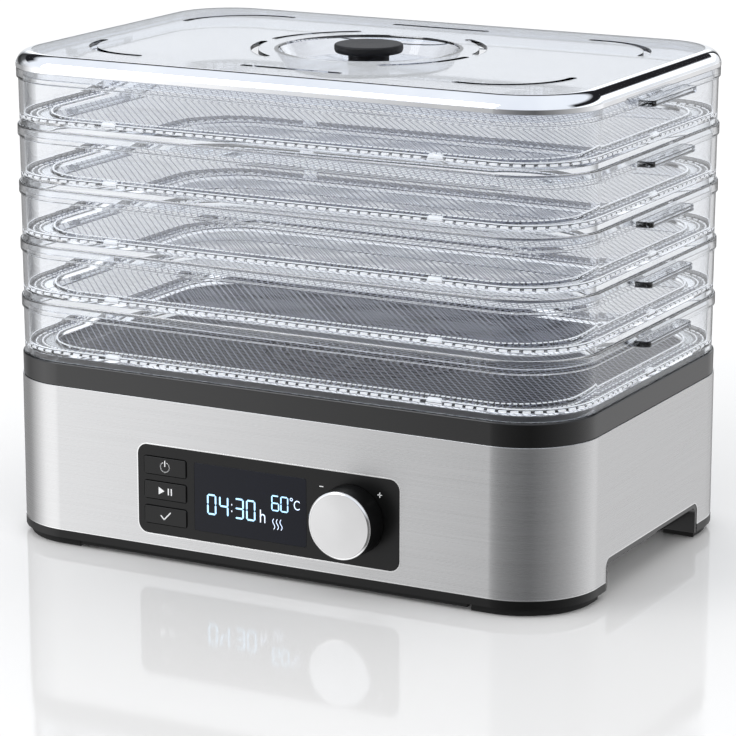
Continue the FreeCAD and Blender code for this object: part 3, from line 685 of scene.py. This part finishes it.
def make_panel_lines():
    """The polished edge of the steel round the panel, and a near-black ring of painted shade in the
    fine gap round each key.
    """
    low, high = node_box("control_fascia")
    edge = 0.55
    in_x = FASCIA_FLANGE[0] - edge
    in_z = FASCIA_FLANGE[1] - edge
    frame_piece = ring_plate("panel_edge", low.x + in_x, high.x - in_x, low.z + in_z,
                             high.z - in_z, PANEL_R + edge, edge, FRONT_Y - 0.05, FRONT_Y + 0.5)
    soften(frame_piece, 0.04)
    put(frame_piece, POLISHED, "base")
    gap = 0.42
    inset = KEY_COLLAR - gap
    # Near-black rings flush with the front: painted shade in the fine gap round each key.
    gap_shade_rings = []
    for node in KEYS:
        low, high = node_box(node)
        gap_shade_rings.append(ring_plate("part", low.x + inset, high.x - inset, low.z + inset,
                               high.z - inset, 1.5, gap, FRONT_Y - 0.03, FRONT_Y + 0.3))
    put(join("key_gap_shade_rings", gap_shade_rings), KEY_GAP_SHADE, "base")


def key_centre(node):
    """The middle of a key in X and Z, and the Y of its face."""
    low, high = node_box(node)
    return (low.x + high.x) / 2, (low.z + high.z) / 2, low.y


def make_key_signs():
    """The power, play/pause and check signs on the keys, and the dial's minus and plus."""
    x, z, y = key_centre(KEYS[0])
    ring = stroke(arc(x, z - 0.2, 2.3, 116, 424, 36), 0.46)
    ring += stroke([(x, z + 0.1), (x, z + 2.9)], 0.48)
    sign("power_sign", ring, y, PRINT, "power_key")
    x, z, y = key_centre(KEYS[1])
    marks = [[(x - 3.5, z - 1.8), (x - 0.4, z), (x - 3.5, z + 1.8)]]
    for dx in (1.4, 3.0):
        marks.append([(x + dx, z - 1.6), (x + dx + 0.6, z - 1.6), (x + dx + 0.6, z + 1.6),
                      (x + dx, z + 1.6)])
    sign("start_pause_sign", marks, y, PRINT, "start_pause_key")
    x, z, y = key_centre(KEYS[2])
    tick = stroke([(x - 2.5, z + 0.1), (x - 0.8, z - 1.7), (x + 2.7, z + 1.9)], 0.56)
    sign("confirm_sign", tick, y, PRINT, "set_key")
    low, high = node_box("dial_body")
    dial_x = (low.x + high.x) / 2
    mark_z = (low.z + high.z) / 2 + 13.2
    minus_x = dial_x - 15.5
    plus_x = dial_x + 14.1
    marks = stroke([(minus_x - 0.95, mark_z), (minus_x + 0.95, mark_z)], 0.42)
    marks += stroke([(plus_x - 1.1, mark_z), (plus_x + 1.1, mark_z)], 0.4)
    marks += stroke([(plus_x, mark_z - 1.1), (plus_x, mark_z + 1.1)], 0.4)
    sign("minus_plus_signs", marks, FRONT_Y, PRINT, "base")


def make_dial():
    """A black skirt with a fine grip and a bright dished cap."""
    low, high = node_box("dial_body")
    cap_low, cap_high = node_box("dial_cap")
    centre = ((low.x + high.x) / 2, 0, (low.z + high.z) / 2)
    r = (high.x - low.x) / 2
    face_r = (cap_high.x - cap_low.x) / 2
    back = -high.y
    split = -cap_high.y
    face = -cap_low.y
    skirt = rounded([(4.0, back, 0), (r - 2.0, back, 0), (r, back, 0.4), (face_r + 0.1, split, 0.3),
                     (4.0, split, 0)], 4)
    body = turned("dial_skirt", skirt[1:], centre, "Y", 128)
    soften(body, 0, angle=30)
    put(body, DIAL_SIDE, "dial", ["dial_body"])
    cap = [(4.0, split), (face_r - 0.1, split), (face_r, split + 0.15), (face_r, face - 0.9),
           (face_r - 0.15, face - 0.6), (face_r - 0.75, face - 0.1), (face_r - 1.05, face),
           (face_r - 1.2, face - 0.05), (face_r - 1.3, face - 0.45), (face_r - 1.5, face - 0.5),
           (6.0, face - 0.42), (1.0, face - 0.4)]
    top = turned("dial_top", cap, centre, "Y", 128)
    soften(top, 0, angle=50)
    put(top, DIAL_FACE, "dial", ["dial_cap"])
    bevel = [(face_r - 1.22, face - 0.06), (face_r - 1.02, face + 0.02), (face_r - 0.7, face - 0.08),
             (face_r - 0.12, face - 0.58)]
    rim = turned("dial_bevel", bevel, centre, "Y", 128)
    soften(rim, 0, angle=60)
    put(rim, POLISHED, "dial")


# ---------------- trays
def clip_line(polygon, origin, direction):
    """The two ends of a line inside a convex polygon, or None."""
    hits = []
    n = len(polygon)
    normal = Vector((-direction.y, direction.x))
    for i in range(n):
        a = Vector(polygon[i])
        b = Vector(polygon[(i + 1) % n])
        da = (a - origin).dot(normal)
        db = (b - origin).dot(normal)
        if (da < 0) != (db < 0):
            hits.append(a + (b - a) * (da / (da - db)))
    if len(hits) < 2:
        return None
    return hits[0], hits[1]


def lattice(name, polygon, z, pitch, lean, width, height):
    """Two crossed layers of fine bars inside a convex polygon."""
    verts = []
    faces = []
    xs = [p[0] for p in polygon]
    ys = [p[1] for p in polygon]
    middle = Vector(((min(xs) + max(xs)) / 2, (min(ys) + max(ys)) / 2))
    reach = math.hypot(max(xs) - min(xs), max(ys) - min(ys)) / 2
    for layer, sense in enumerate((1, -1)):
        direction = Vector((math.cos(math.radians(lean)), sense * math.sin(math.radians(lean))))
        normal = Vector((-direction.y, direction.x))
        level = z + layer * height * 0.85
        count = int(reach / pitch) + 1
        for i in range(-count, count + 1):
            ends = clip_line(polygon, middle + normal * (i + 0.5) * pitch, direction)
            if ends is None or (ends[1] - ends[0]).length < pitch / 2:
                continue
            start = len(verts)
            for end in ends:
                for side, rise in ((-1, 0), (1, 0), (1, 1), (-1, 1)):
                    spot = end + normal * side * width / 2
                    verts.append((spot.x, spot.y, level + rise * height))
            faces += [(start, start + 1, start + 2, start + 3),
                      (start + 4, start + 7, start + 6, start + 5)]
            for j in range(4):
                k = (j + 1) % 4
                faces.append((start + j, start + 4 + j, start + 4 + k, start + k))
    return new_object(name, verts, faces)


def dashes(name, points, pitch, length, width, low, high, skip=None):
    """Small bars end to end along a closed line of points."""
    verts = []
    faces = []
    total = sum((Vector(points[(i + 1) % len(points)]) - Vector(p)).length
                for i, p in enumerate(points))
    count = int(total / pitch)
    step = total / count
    walked = 0.0
    target = step / 2
    for i, p in enumerate(points):
        a = Vector(p)
        b = Vector(points[(i + 1) % len(points)])
        span = (b - a).length
        while target <= walked + span and span > 0:
            along = (b - a).normalized()
            side = Vector((-along.y, along.x)) * width / 2
            middle = a + along * (target - walked)
            target += step
            if skip and skip(middle):
                continue
            start = len(verts)
            for z in (low, high):
                for sa, sb in ((-1, -1), (1, -1), (1, 1), (-1, 1)):
                    spot = middle + along * sa * length / 2 + side * sb
                    verts.append((spot.x, spot.y, z))
            faces += [(start, start + 3, start + 2, start + 1),
                      (start + 4, start + 5, start + 6, start + 7)]
            for j in range(4):
                k = (j + 1) % 4
                faces.append((start + j, start + k, start + 4 + k, start + 4 + j))
        walked += span
    return new_object(name, verts, faces)


def near_tab(spot):
    """True beside one of a tray's six locating tabs."""
    on_front = abs(abs(spot.x) - TAB_X) < 6.0 and abs(spot.y) > HALF_Y - 20
    on_side = abs(spot.y) < 5.0 and abs(spot.x) > HALF_X - 20
    return on_front or on_side


def tray_profile(seat):
    """Section of a tray: nesting skirt, drafted wall, bead, floor border and mesh lip."""
    top = seat + TRAY_PITCH
    floor_low = seat + TRAY_FLOOR[0]
    floor_high = seat + TRAY_FLOOR[1]
    lip_top = floor_high + 1.0
    lip_r = MESH_PLAN_R
    return rounded([
        (1.35, seat, 0.5), (1.1, top - 5.8, 0.5), (0.25, top - 5.2, 0.5), (0.25, top, 0.9),
        (2.8, top, 0.6), (3.0, top - 7.0, 0.6), (3.2, floor_high, 1.2), (11.0, floor_high, 0),
        (MESH_INSET - 2.2, floor_high, 0, lip_r + 2.2), (MESH_INSET - 1.4, lip_top, 0.3, lip_r + 1.4),
        (MESH_INSET, lip_top, 0.3, lip_r), (MESH_INSET, floor_low, 0, lip_r),
        (5.6, floor_low, 0.4), (4.9, seat - TRAY_NEST, 0.5), (3.1, seat - TRAY_NEST, 0.5),
        (3.1, seat, 0.2)], 4)


def grip(name, side, top):
    """The ledge that a finger lifts, with rounded outer corners."""
    reach = node_box("tray_1")[1].x
    root = HALF_X - 1.0
    half = 25.0
    thick = 2.8
    low = top - 5.2
    plan = rounded([(root, -half, 0), (reach, -half, 3.0), (reach, half, 3.0), (root, half, 0)], 6)
    return prism(name, [(side * x, y) for x, y in plan], low, low + thick)


def upright(inset, width, low, high):
    """A ring of rectangular section that follows the tray's outline."""
    return sweep("part", [(inset, low), (inset, high), (inset + width, high), (inset + width, low)])


def tray_ribs(floor_z):
    """The broken ribs that ring the mesh and the floor border, and a thin ring at the wall that is a
    painted highlight line; their material carries a painted glow.
    """
    lip_line = outline(MESH_INSET - 0.8, MESH_PLAN_R + 0.8, 16)
    bars = [dashes("part", lip_line, 2.6, 1.7, 0.8, floor_z + 0.8, floor_z + 1.3)]
    for inset, pitch, length, width, height, skip in (
            (9.6, 2.6, 1.5, 0.7, 0.5, None), (6.6, 5.2, 3.2, 0.7, 0.5, None),
            (3.6, 5.2, 3.4, 0.8, 0.9, near_tab)):
        bars.append(dashes("part", outline(inset, None, 16), pitch, length, width,
                           floor_z, floor_z + height, skip))
    # A painted highlight: a thin glowing ring along the wall.
    bars.append(upright(3.5, 0.5, floor_z + 1.5, floor_z + 1.9))
    return bars


def tray_border_net(floor_z):
    """Fine crossed bars on the four straight stretches of the floor border."""
    x1 = HALF_X - CORNER_R
    y1 = HALF_Y - CORNER_R
    near, far = 5.0, 11.0
    bands = []
    for side in (-1, 1):
        ya, yb = sorted((side * (HALF_Y - near), side * (HALF_Y - far)))
        xa, xb = sorted((side * (HALF_X - near), side * (HALF_X - far)))
        for band in ([(-x1, ya), (x1, ya), (x1, yb), (-x1, yb)],
                     [(xa, -y1), (xb, -y1), (xb, y1), (xa, y1)]):
            bands.append(lattice("part", band, floor_z, 2.7, 45.0, 0.7, 0.3))
    return bands


def tray_tabs(floor_z):
    """Six tapered locating tabs: two along the front, two along the back, one at each end."""
    places = [(sx * TAB_X, sy * (HALF_Y - TAB_INSET), (4.0, 1.0), (3.0, 0.8))
              for sx in (-1, 1) for sy in (-1, 1)]
    places += [(sx * (HALF_X - TAB_INSET), 0, (1.0, 3.4), (0.8, 2.6)) for sx in (-1, 1)]
    tabs = []
    for x, y, wide, narrow in places:
        verts = []
        for (hx, hy), z in ((wide, floor_z - 0.2), (narrow, floor_z + 2.4)):
            verts += [(x - hx, y - hy, z), (x + hx, y - hy, z), (x + hx, y + hy, z),
                      (x - hx, y + hy, z)]
        faces = [(0, 3, 2, 1), (4, 5, 6, 7), (0, 1, 5, 4), (1, 2, 6, 5), (2, 3, 7, 6), (3, 0, 4, 7)]
        tabs.append(new_object("part", verts, faces))
    return tabs


def make_tray(k):
    """One clear tray with its grips, mesh floor, ribs, dark rings of painted shade on the floor
    border, border net and tabs; the ribs, the tabs and the mesh carry a painted glow.
    """
    body = "tray_%d" % k
    seat = TRAY_TOPS[k] - TRAY_PITCH
    floor_z = seat + TRAY_FLOOR[1]
    tray = sweep("tray_shell_%d" % k, tray_profile(seat))
    soften(tray, 0, angle=40)
    put(tray, CLEAR, body, ["tray_%d" % k])
    for side, label in ((-1, "left"), (1, "right")):
        ledge = grip("tray_grip_%s_%d" % (label, k), side, TRAY_TOPS[k])
        soften(ledge, 0.5, 3)
        put(ledge, CLEAR, body)
    floor = lattice("tray_net_%d" % k, outline(MESH_INSET, MESH_PLAN_R, 10),
                    seat + TRAY_FLOOR[0] + 0.1, 2.8, 50.0, 0.44, 0.10)
    put(floor, MILKY_PAINTED_GLOW, body, ["tray_mesh_%d" % k])
    put(join("tray_ribs_%d" % k, tray_ribs(floor_z)), RIB_PAINTED_GLOW, body)
    # Two dark see-through rings on the floor border: painted shade, not a part of the tray.
    shade_rings = [upright(4.05, 0.35, floor_z, floor_z + 1.9),
              upright(4.3, 6.7, floor_z + 0.02, floor_z + 0.14)]
    put(join("tray_gutter_%d" % k, shade_rings), PAINTED_SHADE, body)
    put(join("tray_border_net_%d" % k, tray_border_net(floor_z)), MILKY_PAINTED_GLOW, body)
    # The tabs carry the ribs' painted glow too.
    put(join("tray_tabs_%d" % k, tray_tabs(floor_z)), RIB_PAINTED_GLOW, body)


# ---------------- lid
def slot_outline(points, width):
    """The outline of a round-ended slot that follows a line of points."""
    left = []
    right = []
    n = len(points)
    for i, p in enumerate(points):
        a = Vector(points[max(i - 1, 0)])
        b = Vector(points[min(i + 1, n - 1)])
        along = (b - a).normalized()
        side = Vector((-along.y, along.x)) * width / 2
        left.append(tuple(Vector(p) + side))
        right.append(tuple(Vector(p) - side))
    ends = []
    for p, q in ((points[-1], points[-2]), (points[0], points[1])):
        along = (Vector(p) - Vector(q)).normalized()
        side = Vector((-along.y, along.x)) * width / 2
        cap = [Vector(p) + side * math.cos(a) + along * (width / 2) * math.sin(a)
               for a in [math.pi * j / 8 for j in range(1, 8)]]
        ends.append([tuple(c) for c in cap])
    return left + ends[0] + right[::-1] + ends[1]


LID_WALL = 2.0


def lid_slots(low, high):
    """Cutters for the air slots: a broken ring, one at the front and back, four round corners."""
    width = 3.6
    ring_r = 53.0
    long_half, long_y = 24.0, 73.0
    lines = [arc(0, 0, ring_r, start, start + 50, 24) for start in (6, 124, 186, 304)]
    lines += [[(-long_half, side * long_y), (0.0, side * long_y), (long_half, side * long_y)]
              for side in (-1, 1)]
    corner_r = 34.0
    inset = 26.5
    cx = HALF_X - inset - corner_r
    cy = HALF_Y - inset - corner_r
    for sx in (-1, 1):
        for sy in (-1, 1):
            line = [(sx * (cx - 6), sy * (cy + corner_r))]
            line += [(sx * x, sy * y) for x, y in arc(cx, cy, corner_r, 90, 0, 20)]
            lines.append(line)
    return [prism("cut", slot_outline(line, width), low, high) for line in lines]


def make_lid():
    """The clear lid: a slotted top with a dish for the knob, and a nesting skirt."""
    seat = TRAY_TOPS[1]
    top = node_box("lid")[1].z
    under = top - LID_WALL
    inner = 0.2 + LID_WALL
    profile = rounded([
        (20.0, under, 0), (inner, under, 5.4), (inner, seat + 2.0, 0.2),
        (4.9, seat + 2.0, 0.3), (4.9, seat - TRAY_NEST, 0.5), (3.1, seat - TRAY_NEST, 0.5),
        (3.1, seat, 0.2), (0.2, seat, 0.8), (0.2, top, 7.4), (20.0, top, 0)], 10)
    lid = sweep("lid_shell", profile, closed=False, steps=24)
    dish_r = 42.0
    floor_r = 37.0
    floor_z = node_box("lid_knob")[0].z
    bowl = turned("cut", [(floor_r + LID_WALL - 1, floor_z - LID_WALL),
                          (floor_r + LID_WALL, floor_z - LID_WALL + 0.6),
                          (dish_r + LID_WALL, under + 0.4)], (0, 0, 0), "Z", 120)
    carve(lid, [bowl], "UNION")
    well = turned("cut", [(floor_r, floor_z), (dish_r, top), (dish_r + 0.6, top + 1)],
                  (0, 0, 0), "Z", 120)
    carve(lid, [well] + lid_slots(under - 1, top + 1))
    soften(lid, 0.45, 3)
    put(lid, LID_TOP, "lid", ["lid"])
    skin = rounded([
        (7.0, top - 0.15, 0), (0.35, top - 0.15, 7.2), (0.35, seat + 1.6, 0), (0.1, seat + 1.6, 0),
        (0.1, top + 0.05, 7.5), (7.0, top + 0.05, 0)], 12)
    edge = sweep("lid_edge", skin, steps=24)
    soften(edge, 0, angle=50)
    put(edge, LID_EDGE, "lid")


def make_lid_knob():
    """A mushroom knob with a softly dished top."""
    low, high = node_box("lid_knob")
    r = 16.0
    neck = 9.5
    profile = rounded([
        (2.0, low.z, 0), (neck + 0.8, low.z, 0.3), (neck, low.z + 1.2, 0.5),
        (neck, high.z - 4.0, 0.8), (r - 0.6, high.z - 4.0, 0.8), (r, high.z - 2.6, 0.6),
        (r, high.z, 0.9), (r - 3.0, high.z - 0.05, 0.3), (1.0, high.z - 0.25, 0)], 4)
    knob = turned("lid_knob_top", profile, (0, 0, 0), "Z", 96)
    soften(knob, 0, angle=40)
    put(knob, KNOB, "lid", ["lid_knob"])


# ---------------- studio
def make_floor():
    """A pale floor that mirrors the object faintly; its colour is painted darker near the object and
    a little lighter further out, a painted falloff of light.
    """
    reach = 30000.0
    corners = [(-reach, -reach, 0), (reach, -reach, 0), (reach, reach, 0), (-reach, reach, 0)]
    floor = new_object("floor", corners, [(0, 1, 2, 3)])
    material, tree, bsdf = shader("floor_gloss")
    bsdf.inputs["Roughness"].default_value = 1.0
    bsdf.inputs["Specular IOR Level"].default_value = 0.0
    gloss = tree.nodes.new("ShaderNodeBsdfGlossy")
    gloss.inputs["Roughness"].default_value = 0.07
    mix = tree.nodes.new("ShaderNodeMixShader")
    mix.inputs["Fac"].default_value = 0.17
    tree.links.new(bsdf.outputs[0], mix.inputs[1])
    tree.links.new(gloss.outputs[0], mix.inputs[2])
    tree.links.new(mix.outputs[0], tree.nodes["Material Output"].inputs["Surface"])
    # Painted light falloff: the floor's colour lightens with distance from the object.
    place = tree.nodes.new("ShaderNodeTexCoord")
    away = tree.nodes.new("ShaderNodeVectorMath")
    away.operation = "LENGTH"
    tree.links.new(place.outputs["Object"], away.inputs[0])
    painted_falloff = tree.nodes.new("ShaderNodeMapRange")
    painted_falloff.inputs["From Min"].default_value = 0.2
    painted_falloff.inputs["From Max"].default_value = 0.8
    tree.links.new(away.outputs["Value"], painted_falloff.inputs["Value"])
    vary_colour(tree, bsdf, painted_falloff.outputs["Result"], (0.79, 0.79, 0.792), (0.90,) * 3)
    floor.data.materials.append(material)
    floor.visible_glossy = False
    floor.visible_transmission = False


# How bright the studio looks in reflections and through clear plastic, by bearing from the
# front in degrees: the surroundings, and the backdrop that stands behind the object.
SURROUNDINGS = (
    (-180, 0.46), (-172, 0.16), (-165, 0.12), (-160, 0.64), (-143, 0.64), (-138, 0.12),
    (-130, 0.26), (-98, 0.28), (-78, 0.64), (-60, 1.0), (-35, 1.0), (-33, 0.82), (-30, 0.62),
    (-27, 0.39), (-24, 0.28), (-10, 0.20), (10, 0.13), (34, 0.085), (60, 0.17), (97, 0.36),
    (130, 0.62), (148, 0.72), (152, 0.64), (157, 0.54), (180, 0.46))
BACKDROP = (
    (-180, 1.0), (-174.5, 1.0), (-173, 0.03), (-169, 0.03), (-165, 1.0), (-139, 1.0),
    (-131, 0.03), (-110, 0.08), (-98, 0.6), (60, 0.75), (180, 1.0))
SOFTBOX = (0.64, 0.67, 0.72, 1)
DARK_FLAG = (0.012, 0.012, 0.014, 1)
UNDERFOOT = (0.75, 0.75, 0.76, 1)
EVEN_STRENGTH = 1.2
STUDIO_STRENGTH = 1.45


def math_node(tree, operation, first, second):
    """A maths node between two values, each a number or a socket."""
    node = tree.nodes.new("ShaderNodeMath")
    node.operation = operation
    for socket, value in zip(node.inputs, (first, second)):
        if isinstance(value, (int, float)):
            socket.default_value = value
        else:
            tree.links.new(value, socket)
    return node.outputs[0]


def remap(tree, value, low, high, to_low=0, to_high=1):
    """The value taken from one range to another, eased unless it goes from 0 to 1."""
    node = tree.nodes.new("ShaderNodeMapRange")
    node.interpolation_type = "LINEAR" if (to_low, to_high) == (0, 1) else "SMOOTHSTEP"
    for socket, number in zip(node.inputs[1:5], (low, high, to_low, to_high)):
        socket.default_value = number
    tree.links.new(value, node.inputs["Value"])
    return node.outputs["Result"]


def blend_colours(tree, factor, first, second):
    """A mix of two colours, each fixed or a socket."""
    node = tree.nodes.new("ShaderNodeMix")
    node.data_type = "RGBA"
    tree.links.new(factor, node.inputs["Factor"])
    for socket, value in ((node.inputs["A"], first), (node.inputs["B"], second)):
        if isinstance(value, tuple):
            socket.default_value = value
        else:
            tree.links.new(value, socket)
    return node.outputs["Result"]


def by_bearing(tree, turn, table, tint):
    """The table's brightness, tinted, at each turn from 0 to 1."""
    ramp = tree.nodes.new("ShaderNodeValToRGB")
    stops = ramp.color_ramp.elements
    for angle, value in table[1:-1]:
        stops.new((angle + 180) / 360)
    for stop, (angle, value) in zip(stops, table):
        stop.color = (value * tint[0], value * tint[1], value * tint[2], 1)
    tree.links.new(turn, ramp.inputs["Fac"])
    return ramp.outputs["Color"]


def studio_picture(tree):
    """The studio's walls, backdrop, dark flag above it, softboxes overhead and floor."""
    place = tree.nodes.new("ShaderNodeTexCoord")
    split = tree.nodes.new("ShaderNodeSeparateXYZ")
    tree.links.new(place.outputs["Generated"], split.inputs["Vector"])
    front = math_node(tree, "MULTIPLY", split.outputs["Y"], -1.0)
    bearing = math_node(tree, "ARCTAN2", split.outputs["X"], front)
    turn = remap(tree, bearing, -math.pi, math.pi)
    height = split.outputs["Z"]
    around = by_bearing(tree, turn, SURROUNDINGS, (1, 1, 1.01))
    ahead = blend_colours(tree, remap(tree, height, 0.1, 0.4), around, SOFTBOX)
    graded = tree.nodes.new("ShaderNodeVectorMath")
    graded.operation = "SCALE"
    tree.links.new(by_bearing(tree, turn, BACKDROP, (0.97, 1, 1.04)), graded.inputs[0])
    tree.links.new(remap(tree, height, 0.17, 0.23, 0.62, 1.0), graded.inputs["Scale"])
    backdrop = blend_colours(tree, remap(tree, height, 0.355, 0.385), graded.outputs["Vector"],
                             DARK_FLAG)
    behind = remap(tree, split.outputs["Y"], -0.05, 0.15)
    sky = blend_colours(tree, behind, ahead, backdrop)
    sky = blend_colours(tree, remap(tree, height, 0.56, 0.66), sky, SOFTBOX)
    picture = blend_colours(tree, remap(tree, height, -0.03, 0.05), around, sky)
    return blend_colours(tree, remap(tree, height, -0.92, -0.76), UNDERFOOT, picture)


def make_world():
    """Even white for the camera and for diffuse light, the studio for gloss and clear plastic."""
    world = bpy.data.worlds.new("studio")
    bpy.context.scene.world = world
    world.use_nodes = True
    world.cycles.sampling_method = "NONE"
    tree = world.node_tree
    even = tree.nodes["Background"]
    even.inputs["Color"].default_value = (1, 1, 1, 1)
    even.inputs["Strength"].default_value = EVEN_STRENGTH
    studio = tree.nodes.new("ShaderNodeBackground")
    tree.links.new(studio_picture(tree), studio.inputs["Color"])
    studio.inputs["Strength"].default_value = STUDIO_STRENGTH
    path = tree.nodes.new("ShaderNodeLightPath")
    either = math_node(tree, "MAXIMUM", path.outputs["Is Glossy Ray"],
                       path.outputs["Is Transmission Ray"])
    mix = tree.nodes.new("ShaderNodeMixShader")
    tree.links.new(either, mix.inputs["Fac"])
    tree.links.new(even.outputs[0], mix.inputs[1])
    tree.links.new(studio.outputs[0], mix.inputs[2])
    tree.links.new(mix.outputs[0], tree.nodes["World Output"].inputs["Surface"])


def aimed(name, data, spot, direction):
    """A new camera or light at a spot in metres, facing along a direction."""
    obj = bpy.data.objects.new(name, data)
    bpy.context.scene.collection.objects.link(obj)
    obj.location = spot
    obj.rotation_mode = "QUATERNION"
    obj.rotation_quaternion = direction.to_track_quat("-Z", "Y")
    return obj


def make_camera():
    """A long lens at the right of the front, a little above the object."""
    azimuth = math.radians(28.29)
    elevation = math.radians(13.94)
    distance = 1.5788
    target = Vector((-0.0004, 0.0, 0.0773))
    back = Vector((math.sin(azimuth) * math.cos(elevation),
                   -math.cos(azimuth) * math.cos(elevation), math.sin(elevation)))
    data = bpy.data.cameras.new("camera")
    data.lens = 163.1
    data.sensor_width = 36.0
    data.clip_start = 0.05
    data.clip_end = 100.0
    bpy.context.scene.camera = aimed("camera", data, target + back * distance, -back)


def make_key_light():
    """A weak softbox, high on the left of the front."""
    light = bpy.data.lights.new("softbox", "AREA")
    light.shape = "RECTANGLE"
    light.size = 1.2
    light.size_y = 0.8
    light.energy = 9.0
    spot = Vector((-1.1, -1.3, 1.4))
    aimed("softbox", light, spot, Vector((0, 0, 0.1)) - spot)


dress_cad_nodes()
sharpen_nodes()
make_shell()
make_rim()
make_base_shade_strips()
make_base_skirt()
make_display()
make_panel_lines()
make_key_signs()
make_dial()
for number in range(1, TRAY_COUNT + 1):
    make_tray(number)
make_lid()
make_lid_knob()
make_floor()
make_world()
make_key_light()
make_camera()

scene = bpy.context.scene
scene.view_settings.view_transform = "Standard"
scene.cycles.max_bounces = 48
scene.cycles.transmission_bounces = 48
scene.cycles.transparent_max_bounces = 48
